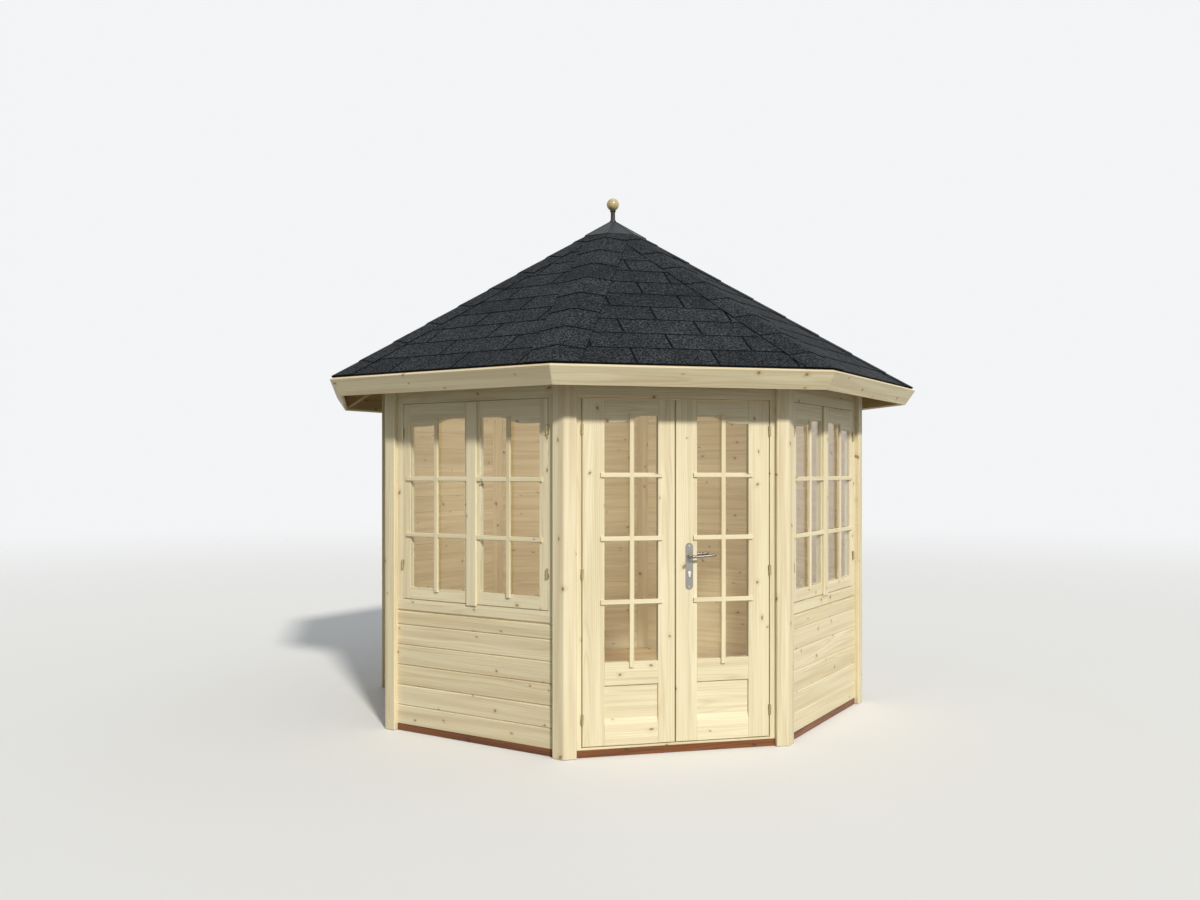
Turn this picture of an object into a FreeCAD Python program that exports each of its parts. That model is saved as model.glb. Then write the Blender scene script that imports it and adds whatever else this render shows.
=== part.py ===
import FreeCAD, Part
import math
import os
import Sketcher

# Octagonal garden pavilion of boarded timber walls: a glazed double door in the
# front wall, a pair of casement windows in the two walls beside it, five closed
# walls, and a shingled roof of eight slopes under a pointed cap and a ball finial.
#
# Frame: millimetres, +Z up, origin on the ground at the middle of the octagon.
# The door wall faces -Y. Pieces of one wall are drawn in the front wall's place
# and turned about Z: side 0 is the front, +1 its right-hand neighbour, 4 the back.

SIDES = 8
STEP = 360.0 / SIDES
HALF_TAN = math.tan(math.radians(STEP / 2))
HALF_SIN = math.sin(math.radians(STEP / 2))
HALF_COS = math.cos(math.radians(STEP / 2))
STEP_SIN = math.sin(math.radians(STEP))
STEP_COS = math.cos(math.radians(STEP))

LEFT, RIGHT = -1, 1

# Driving sizes: name, millimetres or degrees, what it is
SIZES = [
    ("wall_face", 1500, "centre to the outer face of the wall boards"),
    ("wall_thickness", 28, "wall boards"),
    ("post_face", 72, "width of each outer face of a corner post"),
    ("post_proud", 27, "corner post in front of the boards"),
    ("post_rise", 60, "corner posts above the wall boards"),
    ("bearer_height", 40, "impregnated bearers under the walls"),
    ("bearer_width", 50, "bearers, door frame and window frames, front to back"),
    ("joist_width", 58, "floor joists"),
    ("joist_spacing", 470, "floor joists, centre to centre"),
    ("deck_thickness", 19, "floor boards"),
    ("threshold_height", 11, "door threshold above the bearer"),
    ("running_gap", 5, "round a leaf that opens"),
    ("meeting_gap", 7, "between the two door leaves"),
    ("meeting_offset", 13, "meeting line left of the middle"),
    ("leaf_top", 1900, "top edge of the door leaves"),
    ("leaf_thickness", 40, "door leaves"),
    ("frame_visible", 30.5, "door jambs, seen from the front"),
    ("head_height", 60, "head rails of door and windows"),
    ("wall_top", 2080, "top of the wall boards"),
    ("beam_width", 45, "head beams, front to back"),
    ("beam_height", 149, "head beams, at the outer face of the wall"),
    ("glass_inner", 110, "middle of the door to the glass of a leaf"),
    ("leaf_stile", 120, "outer stile of a door leaf"),
    ("door_glass_bottom", 498, "lower edge of the door glass"),
    ("arch_low", 1772, "glass top at the outer side of an arch"),
    ("arch_rise", 39, "rise of the arch to the meeting side"),
    ("door_arch_run", 160, "width of the arch's double curve in a door leaf"),
    ("glass_thickness", 4, "glass panes"),
    ("glass_set_back", 9, "glass panes behind the outer face of their frame"),
    ("recess_bottom", 196, "lower panel of a door leaf, upper edge of its bevel"),
    ("recess_top", 375, "lower panel of a door leaf, upper edge"),
    ("recess_depth", 13, "lower panel of a door leaf behind the frame"),
    ("recess_bevel", 36, "bevel below the lower panel, measured upright"),
    ("sill_bottom", 705, "underside of the window sill rail"),
    ("sill_height", 64, "window sill rail"),
    ("sash_gap", 2.5, "round a window sash"),
    ("sash_thickness", 36, "window sashes"),
    ("window_frame_visible", 45, "window jambs, seen from the front"),
    ("sash_stile", 53, "outer stile of a window sash"),
    ("sash_glass_inner", 54, "middle of the window to the glass"),
    ("sash_glass_bottom", 842, "lower edge of the window glass"),
    ("sash_arch_run", 200, "width of the arch's double curve in a sash"),
    ("astragal_width", 72, "cover strip where the sashes meet"),
    ("astragal_thickness", 12, "cover strip where the sashes meet"),
    ("astragal_drop", 8, "cover strip below the sash"),
    ("hinge_radius", 6.5, "hinge barrels"),
    ("hinge_pin_radius", 3.5, "hinge pins"),
    ("pin_clearance", 0.3, "round a hinge pin"),
    ("hinge_height", 56, "hinges, both halves"),
    ("hinge_joint", 1, "between the two halves of a hinge"),
    ("hinge_flap_width", 9, "hinge flaps, from the axis"),
    ("hinge_flap_thickness", 2, "hinge flaps"),
    ("hinge_stand_off", 0.5, "hinge barrel in front of the leaf"),
    ("hinge_top", 1735, "middle of the top hinges"),
    ("hinge_middle", 970, "middle of the middle hinges"),
    ("hinge_bottom", 202, "middle of the bottom hinges"),
    ("plate_side", 65, "middle of the door to the middle of the lock plate"),
    ("plate_width", 42, "lock plates"),
    ("plate_height", 253, "lock plates"),
    ("plate_middle", 1000, "middle of the lock plates"),
    ("plate_thickness", 3, "lock plates"),
    ("spindle_height", 1054, "lever spindle above the ground"),
    ("spindle_radius", 4.5, "lever spindle"),
    ("spindle_clearance", 0.5, "round the lever spindle"),
    ("lever_neck_radius", 9, "neck of the lever"),
    ("lever_seat_gap", 0.3, "between the lever and the lock plate"),
    ("lever_reach", 50, "lever grip in front of the door leaf"),
    ("lever_length", 140, "spindle to the end of the lever"),
    ("lever_width", 16, "lever grip, seen from the front"),
    ("lever_depth", 12, "lever grip, front to back"),
    ("lever_rise", 7, "end of the lever above its spindle"),
    ("cylinder_height", 966, "key cylinder above the ground"),
    ("cylinder_radius", 8.5, "round part of the key cylinder"),
    ("cylinder_web", 10, "width of the key cylinder's lower part"),
    ("cylinder_drop", 24, "key cylinder, centre of its round to its lower end"),
    ("cylinder_proud", 4, "key cylinder in front of the lock plate"),
    ("eave_overhang", 338, "wall boards to the upper edge of the fascia boards"),
    ("roof_pitch_degrees", 32.5, "slope of the roof"),
    ("fascia_width", 110, "fascia boards"),
    ("fascia_thickness", 19, "fascia boards"),
    ("roof_board_thickness", 19, "roof boards"),
    ("shingle_thickness", 7, "shingles over felt"),
    ("roof_opening", 70, "centre to the upper end of the roof boards"),
    ("rafter_width", 45, "hip rafters"),
    ("rafter_depth", 95, "hip rafters, measured upright"),
    ("hub_reach", 60, "centre to the flats of the apex block"),
    ("hub_height", 190, "apex block"),
    ("cap_reach", 212, "centre to the lower edge of the roof cap"),
    ("cap_thickness", 3, "roof cap"),
    ("stem_radius", 15, "stem of the finial"),
    ("neck_length", 79, "finial between the roof cap and the ball"),
    ("ball_radius", 42, "ball of the finial"),
]


class Size:
    """A number together with the sheet formula that gives it."""

    def __init__(self, value, formula):
        self.value = value
        self.formula = formula

    def combined(self, other, sign, value):
        return Size(value, f"({self.formula} {sign} {other.formula})")

    def __add__(self, other):
        other = as_size(other)
        return self.combined(other, "+", self.value + other.value)

    def __sub__(self, other):
        other = as_size(other)
        return self.combined(other, "-", self.value - other.value)

    def __mul__(self, other):
        other = as_size(other)
        return self.combined(other, "*", self.value * other.value)

    def __truediv__(self, other):
        other = as_size(other)
        return self.combined(other, "/", self.value / other.value)

    def __neg__(self):
        return as_size(0) - self

    def __radd__(self, other):
        return as_size(other) + self

    def __rsub__(self, other):
        return as_size(other) - self

    def __rmul__(self, other):
        return as_size(other) * self


def as_size(item):
    """A plain number as a Size; a Size as it is."""
    return item if isinstance(item, Size) else Size(float(item), f"({float(item):.10g})")


def tangent(angle):
    return Size(math.tan(math.radians(angle.value)), f"tan({angle.formula} * 1 deg)")


def sine(angle):
    return Size(math.sin(math.radians(angle.value)), f"sin({angle.formula} * 1 deg)")


def cosine(angle):
    return Size(math.cos(math.radians(angle.value)), f"cos({angle.formula} * 1 deg)")


def root_of_rest(part):
    """The other short side of a right triangle whose long side is 1."""
    return Size(math.sqrt(1 - part.value ** 2), f"sqrt(1 - {part.formula} * {part.formula})")


class Sheet:
    """The document's spreadsheet, with each driving size as an attribute."""

    def __init__(self, document):
        sheet = document.addObject("Spreadsheet::Sheet", "Sizes")
        for row, (name, value, meaning) in enumerate(SIZES, start=1):
            sheet.set(f"A{row}", meaning)
            sheet.set(f"B{row}", str(value))
            sheet.setAlias(f"B{row}", name)
            setattr(self, name, Size(float(value), f"Sizes.{name}"))


class Bend:
    """An arc of an outline, up to the corner (across, up)."""

    def __init__(self, across, up, radius, clockwise):
        self.corner = (across, up)
        self.radius = radius
        self.clockwise = clockwise


document = FreeCAD.newDocument("GardenPavilion")
d = Sheet(document)
document.recompute()
nodes = []


# Sketches and bodies

def corner_of(step):
    pair = step.corner if isinstance(step, Bend) else step
    return as_size(pair[0]), as_size(pair[1])


def vector_of(corner):
    return FreeCAD.Vector(corner[0].value, corner[1].value, 0)


def bend_edge(start, end, bend):
    """The circle arc of a bend between two points, and whether it runs backwards."""
    radius = bend.radius.value
    chord = end - start
    rise = math.sqrt(max(radius ** 2 - (chord.Length / 2) ** 2, 0))
    turn = -1 if bend.clockwise else 1
    across = FreeCAD.Vector(-chord.y, chord.x, 0).normalize() * turn
    centre = (start + end) / 2 + across * rise
    first, last = (end, start) if bend.clockwise else (start, end)
    angles = [math.atan2(point.y - centre.y, point.x - centre.x) for point in (first, last)]
    circle = Part.Circle(centre, FreeCAD.Vector(0, 0, 1), radius)
    return Part.ArcOfCircle(circle, angles[0], angles[1])


def pin(sketch, kind, edge, end, size):
    """Hold one coordinate of an edge's end at a size of the sheet."""
    row = sketch.addConstraint(Sketcher.Constraint(kind, -1, 1, edge, end, size.value))
    sketch.setExpression(f"Constraints[{row}]", size.formula)


def draw(sketch, outline):
    """Add a closed outline of straight edges and bends, each corner bound to the sheet."""
    first_edge = sketch.GeometryCount
    corners = [corner_of(step) for step in outline]
    starts, ends = [], []
    for step, corner, previous in zip(outline, corners, corners[-1:] + corners[:-1]):
        if isinstance(step, Bend):
            edge = sketch.addGeometry(bend_edge(vector_of(previous), vector_of(corner), step))
            row = sketch.addConstraint(Sketcher.Constraint("Radius", edge, step.radius.value))
            sketch.setExpression(f"Constraints[{row}]", step.radius.formula)
            start, end = (2, 1) if step.clockwise else (1, 2)
        else:
            edge = sketch.addGeometry(Part.LineSegment(vector_of(previous), vector_of(corner)))
            start, end = 1, 2
        starts.append((edge, start))
        ends.append((edge, end))
    for position in range(len(outline)):
        joint = starts[position] + ends[position - 1]
        sketch.addConstraint(Sketcher.Constraint("Coincident", *joint))
    for (edge, end), (across, up) in zip(ends, corners):
        pin(sketch, "DistanceX", edge, end, across)
        pin(sketch, "DistanceY", edge, end, up)
    return first_edge


def draw_circle(sketch, across, up, radius):
    """Add a circle whose centre and radius are bound to the sheet."""
    centre = FreeCAD.Vector(across.value, up.value, 0)
    edge = sketch.addGeometry(Part.Circle(centre, FreeCAD.Vector(0, 0, 1), radius.value))
    row = sketch.addConstraint(Sketcher.Constraint("Radius", edge, radius.value))
    sketch.setExpression(f"Constraints[{row}]", radius.formula)
    pin(sketch, "DistanceX", edge, 3, across)
    pin(sketch, "DistanceY", edge, 3, up)


def origin_part(body, role):
    return next(item for item in body.Origin.OriginFeatures if item.Role == role)


def new_body(label, side=0.0):
    """A body drawn at the front and turned about Z by a number of wall steps."""
    body = document.addObject("PartDesign::Body", label)
    body.Label = label
    body.AllowCompound = True
    turn = FreeCAD.Rotation(FreeCAD.Vector(0, 0, 1), side * STEP)
    body.Placement = FreeCAD.Placement(FreeCAD.Vector(0, 0, 0), turn)
    return body


def new_sketch(body, plane, offset):
    """A sketch on an origin plane of its body, moved along the plane's normal."""
    sketch = body.newObject("Sketcher::SketchObject", f"{body.Name}_sketch")
    sketch.AttachmentSupport = [(origin_part(body, plane), "")]
    sketch.MapMode = "FlatFace"
    sketch.setExpression("AttachmentOffset.Base.z", as_size(offset).formula)
    return sketch


def add_pad(body, sketch, length, symmetric=False):
    pad = body.newObject("PartDesign::Pad", f"{body.Name}_pad")
    pad.Profile = sketch
    pad.setExpression("Length", as_size(length).formula)
    if symmetric:
        pad.SideType = "Symmetric"
    return pad


def add_pocket(body, sketch, depth):
    pocket = body.newObject("PartDesign::Pocket", f"{body.Name}_pocket")
    pocket.Profile = sketch
    pocket.setExpression("Length", as_size(depth).formula)
    return pocket


def repeat_round(body, count):
    """Repeat the whole body about the vertical axis."""
    document.recompute()
    pattern = body.newObject("PartDesign::PolarPattern", f"{body.Name}_round")
    pattern.TransformMode = "Whole shape"
    pattern.Axis = (origin_part(body, "Z_Axis"), [""])
    pattern.Angle = 360
    pattern.Occurrences = count
    body.Tip = pattern


def rectangle(left, right, bottom, top):
    return [(left, bottom), (right, bottom), (right, top), (left, top)]


def upright(body, outlines, inner, outer):
    """A piece drawn in front view, from one distance from the centre to another."""
    sketch = new_sketch(body, "XZ_Plane", inner)
    for outline in outlines:
        draw(sketch, outline)
    return add_pad(body, sketch, outer - inner)


def level(body, outline, bottom, top):
    """A piece drawn in plan, between two heights."""
    sketch = new_sketch(body, "XY_Plane", bottom)
    draw(sketch, outline)
    return add_pad(body, sketch, top - bottom)


def section(body, outline, half_width):
    """A piece drawn in cross-section (distance from the centre, height)."""
    sketch = new_sketch(body, "YZ_Plane", 0)
    draw(sketch, [(-as_size(reach), up) for reach, up in outline])
    return add_pad(body, sketch, 2 * half_width, symmetric=True)


def keep(item, label=None):
    """Mark an object as a finished sub-part."""
    if label:
        item.Label = label
    nodes.append(item)
    return item


def group(label, items):
    """Like pieces that do not touch, kept as one sub-part."""
    compound = document.addObject("Part::Compound", label)
    compound.Links = items
    compound.Label = label
    return keep(compound)


def plan_corner(across, reach, side=0):
    """Plan position of a point of the front wall, or of side 1 when side is 1."""
    if side == 0:
        return across, -reach
    return across * STEP_COS + reach * STEP_SIN, across * STEP_SIN - reach * STEP_COS


# Shared places

wall_inner = d.wall_face - d.wall_thickness
post_front = d.wall_face + d.post_proud
clear_half = post_front * HALF_TAN - d.post_face
frame_inner = d.wall_face - d.bearer_width
door_half = clear_half - d.frame_visible
floor_top = d.bearer_height + d.threshold_height
leaf_bottom = floor_top + d.running_gap
door_head = d.leaf_top + d.running_gap
leaf_half = door_half - d.running_gap
leaf_inner = d.wall_face - d.leaf_thickness
glass_outer = leaf_half - d.leaf_stile
sash_half_width = clear_half - d.window_frame_visible - d.sash_gap
sash_glass_outer = sash_half_width - d.sash_stile
pane_outer = d.wall_face - d.glass_set_back
pane_inner = pane_outer - d.glass_thickness
arch_high = d.arch_low + d.arch_rise

post_top = d.wall_top + d.post_rise
rise_of = tangent(d.roof_pitch_degrees)
slope_sine = sine(d.roof_pitch_degrees)
slope_cosine = cosine(d.roof_pitch_degrees)
beam_top = d.wall_top + d.beam_height
board_apex = beam_top + d.roof_board_thickness / slope_cosine + d.wall_face * rise_of
eave_reach = d.wall_face + d.eave_overhang
eave_height = board_apex - eave_reach * rise_of


def roof_height(reach, above=0):
    """Height of the roof boards' upper face, or of a plane parallel above it."""
    return board_apex - reach * rise_of + as_size(above) / slope_cosine


# Corner posts, bearers and floor

def make_posts():
    body = new_body("corner_posts")
    outer_corner = post_front * HALF_TAN
    inner_corner = wall_inner * HALF_TAN
    outline = [
        plan_corner(clear_half, post_front),
        plan_corner(outer_corner, post_front),
        plan_corner(-clear_half, post_front, side=1),
        plan_corner(-clear_half, wall_inner, side=1),
        plan_corner(inner_corner, wall_inner),
        plan_corner(clear_half, wall_inner),
    ]
    level(body, outline, as_size(0), post_top)
    repeat_round(body, SIDES)
    keep(body)


def make_bearers():
    body = new_body("wall_bearers")
    outline = rectangle(-clear_half, clear_half, as_size(0), d.bearer_height)
    upright(body, [outline], frame_inner, d.wall_face)
    repeat_round(body, SIDES)
    keep(body)


def make_floor():
    corner = frame_inner * HALF_TAN
    outline = []
    for quarter in range(4):
        cos, sin = round(math.cos(quarter * math.pi / 2)), round(math.sin(quarter * math.pi / 2))
        for across in (-corner, corner):
            outline.append((across * cos + frame_inner * sin, across * sin - frame_inner * cos))
    body = new_body("floor_deck")
    level(body, outline, floor_top - d.deck_thickness, floor_top)
    keep(body)
    joists = []
    for row in (-2, -1, 0, 1, 2):
        joist = new_body(f"floor_joist_{row + 3}")
        middle = row * d.joist_spacing
        length = frame_inner if abs(row) < 2 else frame_inner * (1 + HALF_TAN) - 2 * d.joist_spacing
        near, far = middle - d.joist_width / 2, middle + d.joist_width / 2
        reach = length - d.joist_width if abs(row) == 2 else length
        level(joist, rectangle(-reach, reach, near, far), as_size(0), floor_top - d.deck_thickness)
        joists.append(joist)
    group("floor_joists", joists)


# Walls

CLOSED_WALLS = {"wall_left": -2, "wall_right": 2, "wall_back_left": -3, "wall_back_right": 3, "wall_back": 4}
WINDOW_WALLS = {"left": LEFT, "right": RIGHT}


def make_walls():
    for label, side in CLOSED_WALLS.items():
        body = new_body(label, side)
        outline = rectangle(-clear_half, clear_half, d.bearer_height, d.wall_top)
        upright(body, [outline], wall_inner, d.wall_face)
        keep(body)
    for name, side in WINDOW_WALLS.items():
        body = new_body(f"wall_below_window_{name}", side)
        outline = rectangle(-clear_half, clear_half, d.bearer_height, d.sill_bottom)
        upright(body, [outline], wall_inner, d.wall_face)
        keep(body)
    above = []
    for side in (LEFT, 0, RIGHT):
        body = new_body(f"board_above_opening_{side + 2}", side)
        outline = rectangle(-clear_half, clear_half, door_head + d.head_height, d.wall_top)
        upright(body, [outline], wall_inner, d.wall_face)
        above.append(body)
    group("boards_above_openings", above)


def make_head_beams():
    body = new_body("head_beams")
    beam_inner = d.wall_face - d.beam_width
    outline = [
        (d.wall_face, d.wall_top),
        (d.wall_face, beam_top),
        (beam_inner, roof_height(beam_inner, -d.roof_board_thickness)),
        (beam_inner, d.wall_top),
    ]
    section(body, outline, clear_half)
    repeat_round(body, SIDES)
    keep(body)


# Arched openings

def arched_outline(hand, inner, outer, bottom, run):
    """Glass outline: flat and low outside, a double curve, flat and high at the meeting side."""
    middle = (inner + outer) / 2
    half_rise = d.arch_rise / 2
    half_run = run / 2
    radius = (half_run * half_run + half_rise * half_rise) / (2 * half_rise)
    rising = hand == LEFT
    steps = [
        (hand * outer, bottom),
        (hand * outer, d.arch_low),
        (hand * (middle + half_run), d.arch_low),
        Bend(hand * middle, d.arch_low + half_rise, radius, clockwise=not rising),
        Bend(hand * (middle - half_run), arch_high, radius, clockwise=rising),
        (hand * inner, arch_high),
        (hand * inner, bottom),
    ]
    return steps


# Windows

def make_window(name, side):
    sill_top = d.sill_bottom + d.sill_height
    sash_bottom = sill_top + d.sash_gap
    head_bottom = door_head
    sash_top = head_bottom - d.sash_gap
    frame_half = sash_half_width + d.sash_gap
    sash_inner = d.wall_face - d.sash_thickness

    sill = new_body(f"window_sill_{name}", side)
    upright(sill, [rectangle(-clear_half, clear_half, d.sill_bottom, sill_top)], frame_inner, d.wall_face)
    keep(sill)
    head = new_body(f"window_head_{name}", side)
    head_top = head_bottom + d.head_height
    upright(head, [rectangle(-clear_half, clear_half, head_bottom, head_top)], frame_inner, d.wall_face)
    keep(head)
    jambs = []
    for hand, place in ((LEFT, "outer"), (RIGHT, "inner")):
        jamb = new_body(f"window_jamb_{name}_{place}", side)
        edges = sorted((hand * frame_half, hand * clear_half), key=lambda size: size.value)
        upright(jamb, [rectangle(*edges, sill_top, head_bottom)], frame_inner, d.wall_face)
        jambs.append(jamb)
    panes = []
    for hand, place in ((LEFT, "left"), (RIGHT, "right")):
        sash = new_body(f"window_sash_{name}_{place}", side)
        meeting = d.sash_gap / 2
        edges = sorted((hand * meeting, hand * sash_half_width), key=lambda size: size.value)
        glass = arched_outline(hand, d.sash_glass_inner, sash_glass_outer, d.sash_glass_bottom, d.sash_arch_run)
        upright(sash, [rectangle(*edges, sash_bottom, sash_top), glass], sash_inner, d.wall_face)
        keep(sash)
        pane = new_body(f"window_pane_{name}_{place}", side)
        upright(pane, [glass], pane_inner, pane_outer)
        panes.append(pane)
    astragal = new_body(f"window_astragal_{name}", side)
    half = d.astragal_width / 2
    outline = rectangle(-half, half, sash_bottom - d.astragal_drop, sash_top)
    upright(astragal, [outline], d.wall_face, d.wall_face + d.astragal_thickness)
    keep(astragal)
    hinges = []
    for hand, place in ((LEFT, "left"), (RIGHT, "right")):
        for height, row in ((d.hinge_top, "top"), (d.hinge_middle, "middle")):
            hinge = new_body(f"window_hinge_{name}_{place}_{row}", side)
            across = hand * (sash_half_width + d.sash_gap / 2)
            barrel(hinge, across, height - d.hinge_height / 2, d.hinge_height, None)
            flap(hinge, across, LEFT, height - d.hinge_height / 2, d.hinge_height)
            flap(hinge, across, RIGHT, height - d.hinge_height / 2, d.hinge_height)
            hinges.append(hinge)
    return jambs, panes, hinges


# Hinges

hinge_reach = d.wall_face + d.hinge_radius + d.hinge_stand_off


def barrel(body, across, bottom, height, bore):
    """An upright hinge barrel in front of the wall face, with a bore if one is given."""
    sketch = new_sketch(body, "XY_Plane", bottom)
    draw_circle(sketch, across, -hinge_reach, d.hinge_radius)
    if bore is not None:
        draw_circle(sketch, across, -hinge_reach, bore)
    add_pad(body, sketch, height)


def flap(body, across, hand, bottom, height):
    """A hinge flap flat on the wood, from the barrel to one side."""
    inner = across + hand * (d.hinge_pin_radius + d.pin_clearance)
    edges = sorted((inner, across + hand * d.hinge_flap_width), key=lambda size: size.value)
    outline = rectangle(*edges, bottom, bottom + height)
    upright(body, [outline], d.wall_face, d.wall_face + d.hinge_flap_thickness)


def make_windows():
    jambs, panes, hinges = [], [], []
    for name, side in WINDOW_WALLS.items():
        parts = make_window(name, side)
        jambs += parts[0]
        panes += parts[1]
        hinges += parts[2]
    group("window_jambs", jambs)
    group("window_panes", panes)
    group("window_hinges", hinges)


# Door

def make_door_frame():
    jambs = []
    for hand, place in ((LEFT, "left"), (RIGHT, "right")):
        jamb = new_body(f"door_jamb_{place}")
        edges = sorted((hand * door_half, hand * clear_half), key=lambda size: size.value)
        upright(jamb, [rectangle(*edges, d.bearer_height, door_head)], frame_inner, d.wall_face)
        jambs.append(jamb)
    group("door_jambs", jambs)
    head = new_body("door_head")
    outline = rectangle(-clear_half, clear_half, door_head, door_head + d.head_height)
    upright(head, [outline], frame_inner, d.wall_face)
    keep(head)
    threshold = new_body("door_threshold")
    outline = rectangle(-door_half, door_half, d.bearer_height, floor_top)
    upright(threshold, [outline], frame_inner, d.wall_face)
    keep(threshold)


def make_leaf(name, hand):
    """One door leaf: a frame round the arched glass, with a sunk panel in both faces below."""
    meeting = -d.meeting_offset + hand * d.meeting_gap / 2
    edges = sorted((meeting, hand * leaf_half), key=lambda size: size.value)
    glass = arched_outline(hand, d.glass_inner, glass_outer, d.door_glass_bottom, d.door_arch_run)
    body = new_body(f"door_leaf_{name}")
    upright(body, [rectangle(*edges, leaf_bottom, d.leaf_top), glass], leaf_inner, d.wall_face)
    panel_right = glass_outer if hand == RIGHT else -d.glass_inner
    for face, inward in ((d.wall_face, -1), (leaf_inner, 1)):
        panel = face + inward * d.recess_depth
        sketch = new_sketch(body, "YZ_Plane", panel_right)
        draw(sketch, [
            (-face, d.recess_top),
            (-panel, d.recess_top),
            (-panel, d.recess_bottom),
            (-face, d.recess_bottom - d.recess_bevel),
        ])
        add_pocket(body, sketch, glass_outer - d.glass_inner)
    if hand == RIGHT:
        sketch = new_sketch(body, "XZ_Plane", d.wall_face)
        draw_circle(sketch, d.plate_side, d.spindle_height, d.spindle_radius + d.spindle_clearance)
        add_pocket(body, sketch, d.leaf_thickness)
    keep(body)
    pane = new_body(f"door_glass_{name}")
    upright(pane, [glass], pane_inner, pane_outer)
    keep(pane)


def make_door_hinges():
    """Lift-off hinges: a lower half with its pin on the frame, a bored upper half on the leaf."""
    half = (d.hinge_height - d.hinge_joint) / 2
    frame_halves = []
    for hand, place in ((LEFT, "left"), (RIGHT, "right")):
        leaf_halves = []
        across = hand * (door_half - d.running_gap / 2)
        for height, row in ((d.hinge_top, "top"), (d.hinge_middle, "middle"), (d.hinge_bottom, "bottom")):
            bottom = height - d.hinge_height / 2
            lower = new_body(f"hinge_half_frame_{place}_{row}")
            barrel(lower, across, bottom, half, None)
            sketch = new_sketch(lower, "XY_Plane", bottom)
            draw_circle(sketch, across, -hinge_reach, d.hinge_pin_radius)
            add_pad(lower, sketch, d.hinge_height - d.hinge_flap_thickness)
            flap(lower, across, hand, bottom, half)
            frame_halves.append(lower)
            upper = new_body(f"hinge_half_leaf_{place}_{row}")
            upper_bottom = bottom + half + d.hinge_joint
            barrel(upper, across, upper_bottom, half, d.hinge_pin_radius + d.pin_clearance)
            flap(upper, across, -hand, upper_bottom, half)
            leaf_halves.append(upper)
        group(f"door_hinges_leaf_{place}", leaf_halves)
    group("door_hinges_frame", frame_halves)


def make_lock():
    """Lock plates on both faces, the key cylinder, and the two levers on one spindle."""
    faces = {"outside": (d.wall_face, 1), "inside": (leaf_inner, -1)}
    half_width = d.plate_width / 2
    bottom = d.plate_middle - d.plate_height / 2 + half_width
    top = d.plate_middle + d.plate_height / 2 - half_width
    left, right = d.plate_side - half_width, d.plate_side + half_width
    plates, cylinders = [], []
    for name, (face, way) in faces.items():
        plate = new_body(f"lock_plate_{name}")
        inner, outer = sorted((face, face + way * d.plate_thickness), key=lambda size: size.value)
        sketch = new_sketch(plate, "XZ_Plane", inner)
        draw(sketch, [
            (right, top),
            Bend(d.plate_side, top + half_width, half_width, clockwise=False),
            Bend(left, top, half_width, clockwise=False),
            (left, bottom),
            Bend(d.plate_side, bottom - half_width, half_width, clockwise=False),
            Bend(right, bottom, half_width, clockwise=False),
        ])
        draw_circle(sketch, d.plate_side, d.spindle_height, d.spindle_radius + d.spindle_clearance)
        add_pad(plate, sketch, outer - inner)
        plates.append(plate)
        front = face + way * d.plate_thickness
        cylinder = new_body(f"key_cylinder_{name}")
        inner, outer = sorted((front, front + way * d.cylinder_proud), key=lambda size: size.value)
        sketch = new_sketch(cylinder, "XZ_Plane", inner)
        draw_circle(sketch, d.plate_side, d.cylinder_height, d.cylinder_radius)
        add_pad(cylinder, sketch, outer - inner)
        web = d.cylinder_web / 2
        low, high = d.cylinder_height - d.cylinder_drop, d.cylinder_height
        upright(cylinder, [rectangle(d.plate_side - web, d.plate_side + web, low, high)], inner, outer)
        cylinders.append(cylinder)
    group("lock_plates", plates)
    group("key_cylinders", cylinders)
    make_levers(faces)


def grip_outline():
    """Lever grip in front view: level at the spindle, a double curve, and a round end."""
    half_width, half_rise = d.lever_width / 2, d.lever_rise / 2
    half_run = (d.lever_length - half_width) / 2
    radius = (half_run * half_run + half_rise * half_rise) / (2 * half_rise)
    root, middle = d.plate_side, d.plate_side + half_run
    end, end_height = middle + half_run, d.spindle_height + d.lever_rise
    lower, upper = d.spindle_height - half_width, d.spindle_height + half_width
    return [
        (root, lower),
        Bend(middle, lower + half_rise, radius, clockwise=False),
        Bend(end, end_height - half_width, radius, clockwise=True),
        Bend(end + half_width, end_height, half_width, clockwise=False),
        Bend(end, end_height + half_width, half_width, clockwise=False),
        Bend(middle, upper + half_rise, radius, clockwise=False),
        Bend(root, upper, radius, clockwise=True),
    ]


def make_levers(faces):
    body = new_body("door_levers")
    sketch = new_sketch(body, "XZ_Plane", leaf_inner - d.lever_reach)
    draw_circle(sketch, d.plate_side, d.spindle_height, d.spindle_radius)
    add_pad(body, sketch, d.leaf_thickness + 2 * d.lever_reach)
    for name, (face, way) in faces.items():
        seat = face + way * (d.plate_thickness + d.lever_seat_gap)
        back = face + way * (d.lever_reach - d.lever_depth / 2)
        front = back + way * d.lever_depth
        inner, outer = sorted((seat, front), key=lambda size: size.value)
        sketch = new_sketch(body, "XZ_Plane", inner)
        draw_circle(sketch, d.plate_side, d.spindle_height, d.lever_neck_radius)
        add_pad(body, sketch, outer - inner)
        inner, outer = sorted((back, front), key=lambda size: size.value)
        upright(body, [grip_outline()], inner, outer)
    keep(body)


# Roof

def mitre(body):
    """Cut a slope's piece at the two hips, in upright planes through the middle."""
    sketch = new_sketch(body, "XY_Plane", 0)
    reach = 2 * eave_reach
    for hand in (LEFT, RIGHT):
        draw(sketch, [(0, 0), (hand * reach * HALF_TAN, -reach), (hand * reach, -reach), (hand * reach, 0)])
    pocket = body.newObject("PartDesign::Pocket", f"{body.Name}_mitre")
    pocket.Profile = sketch
    pocket.Type = "ThroughAll"
    pocket.SideType = "Symmetric"


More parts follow.
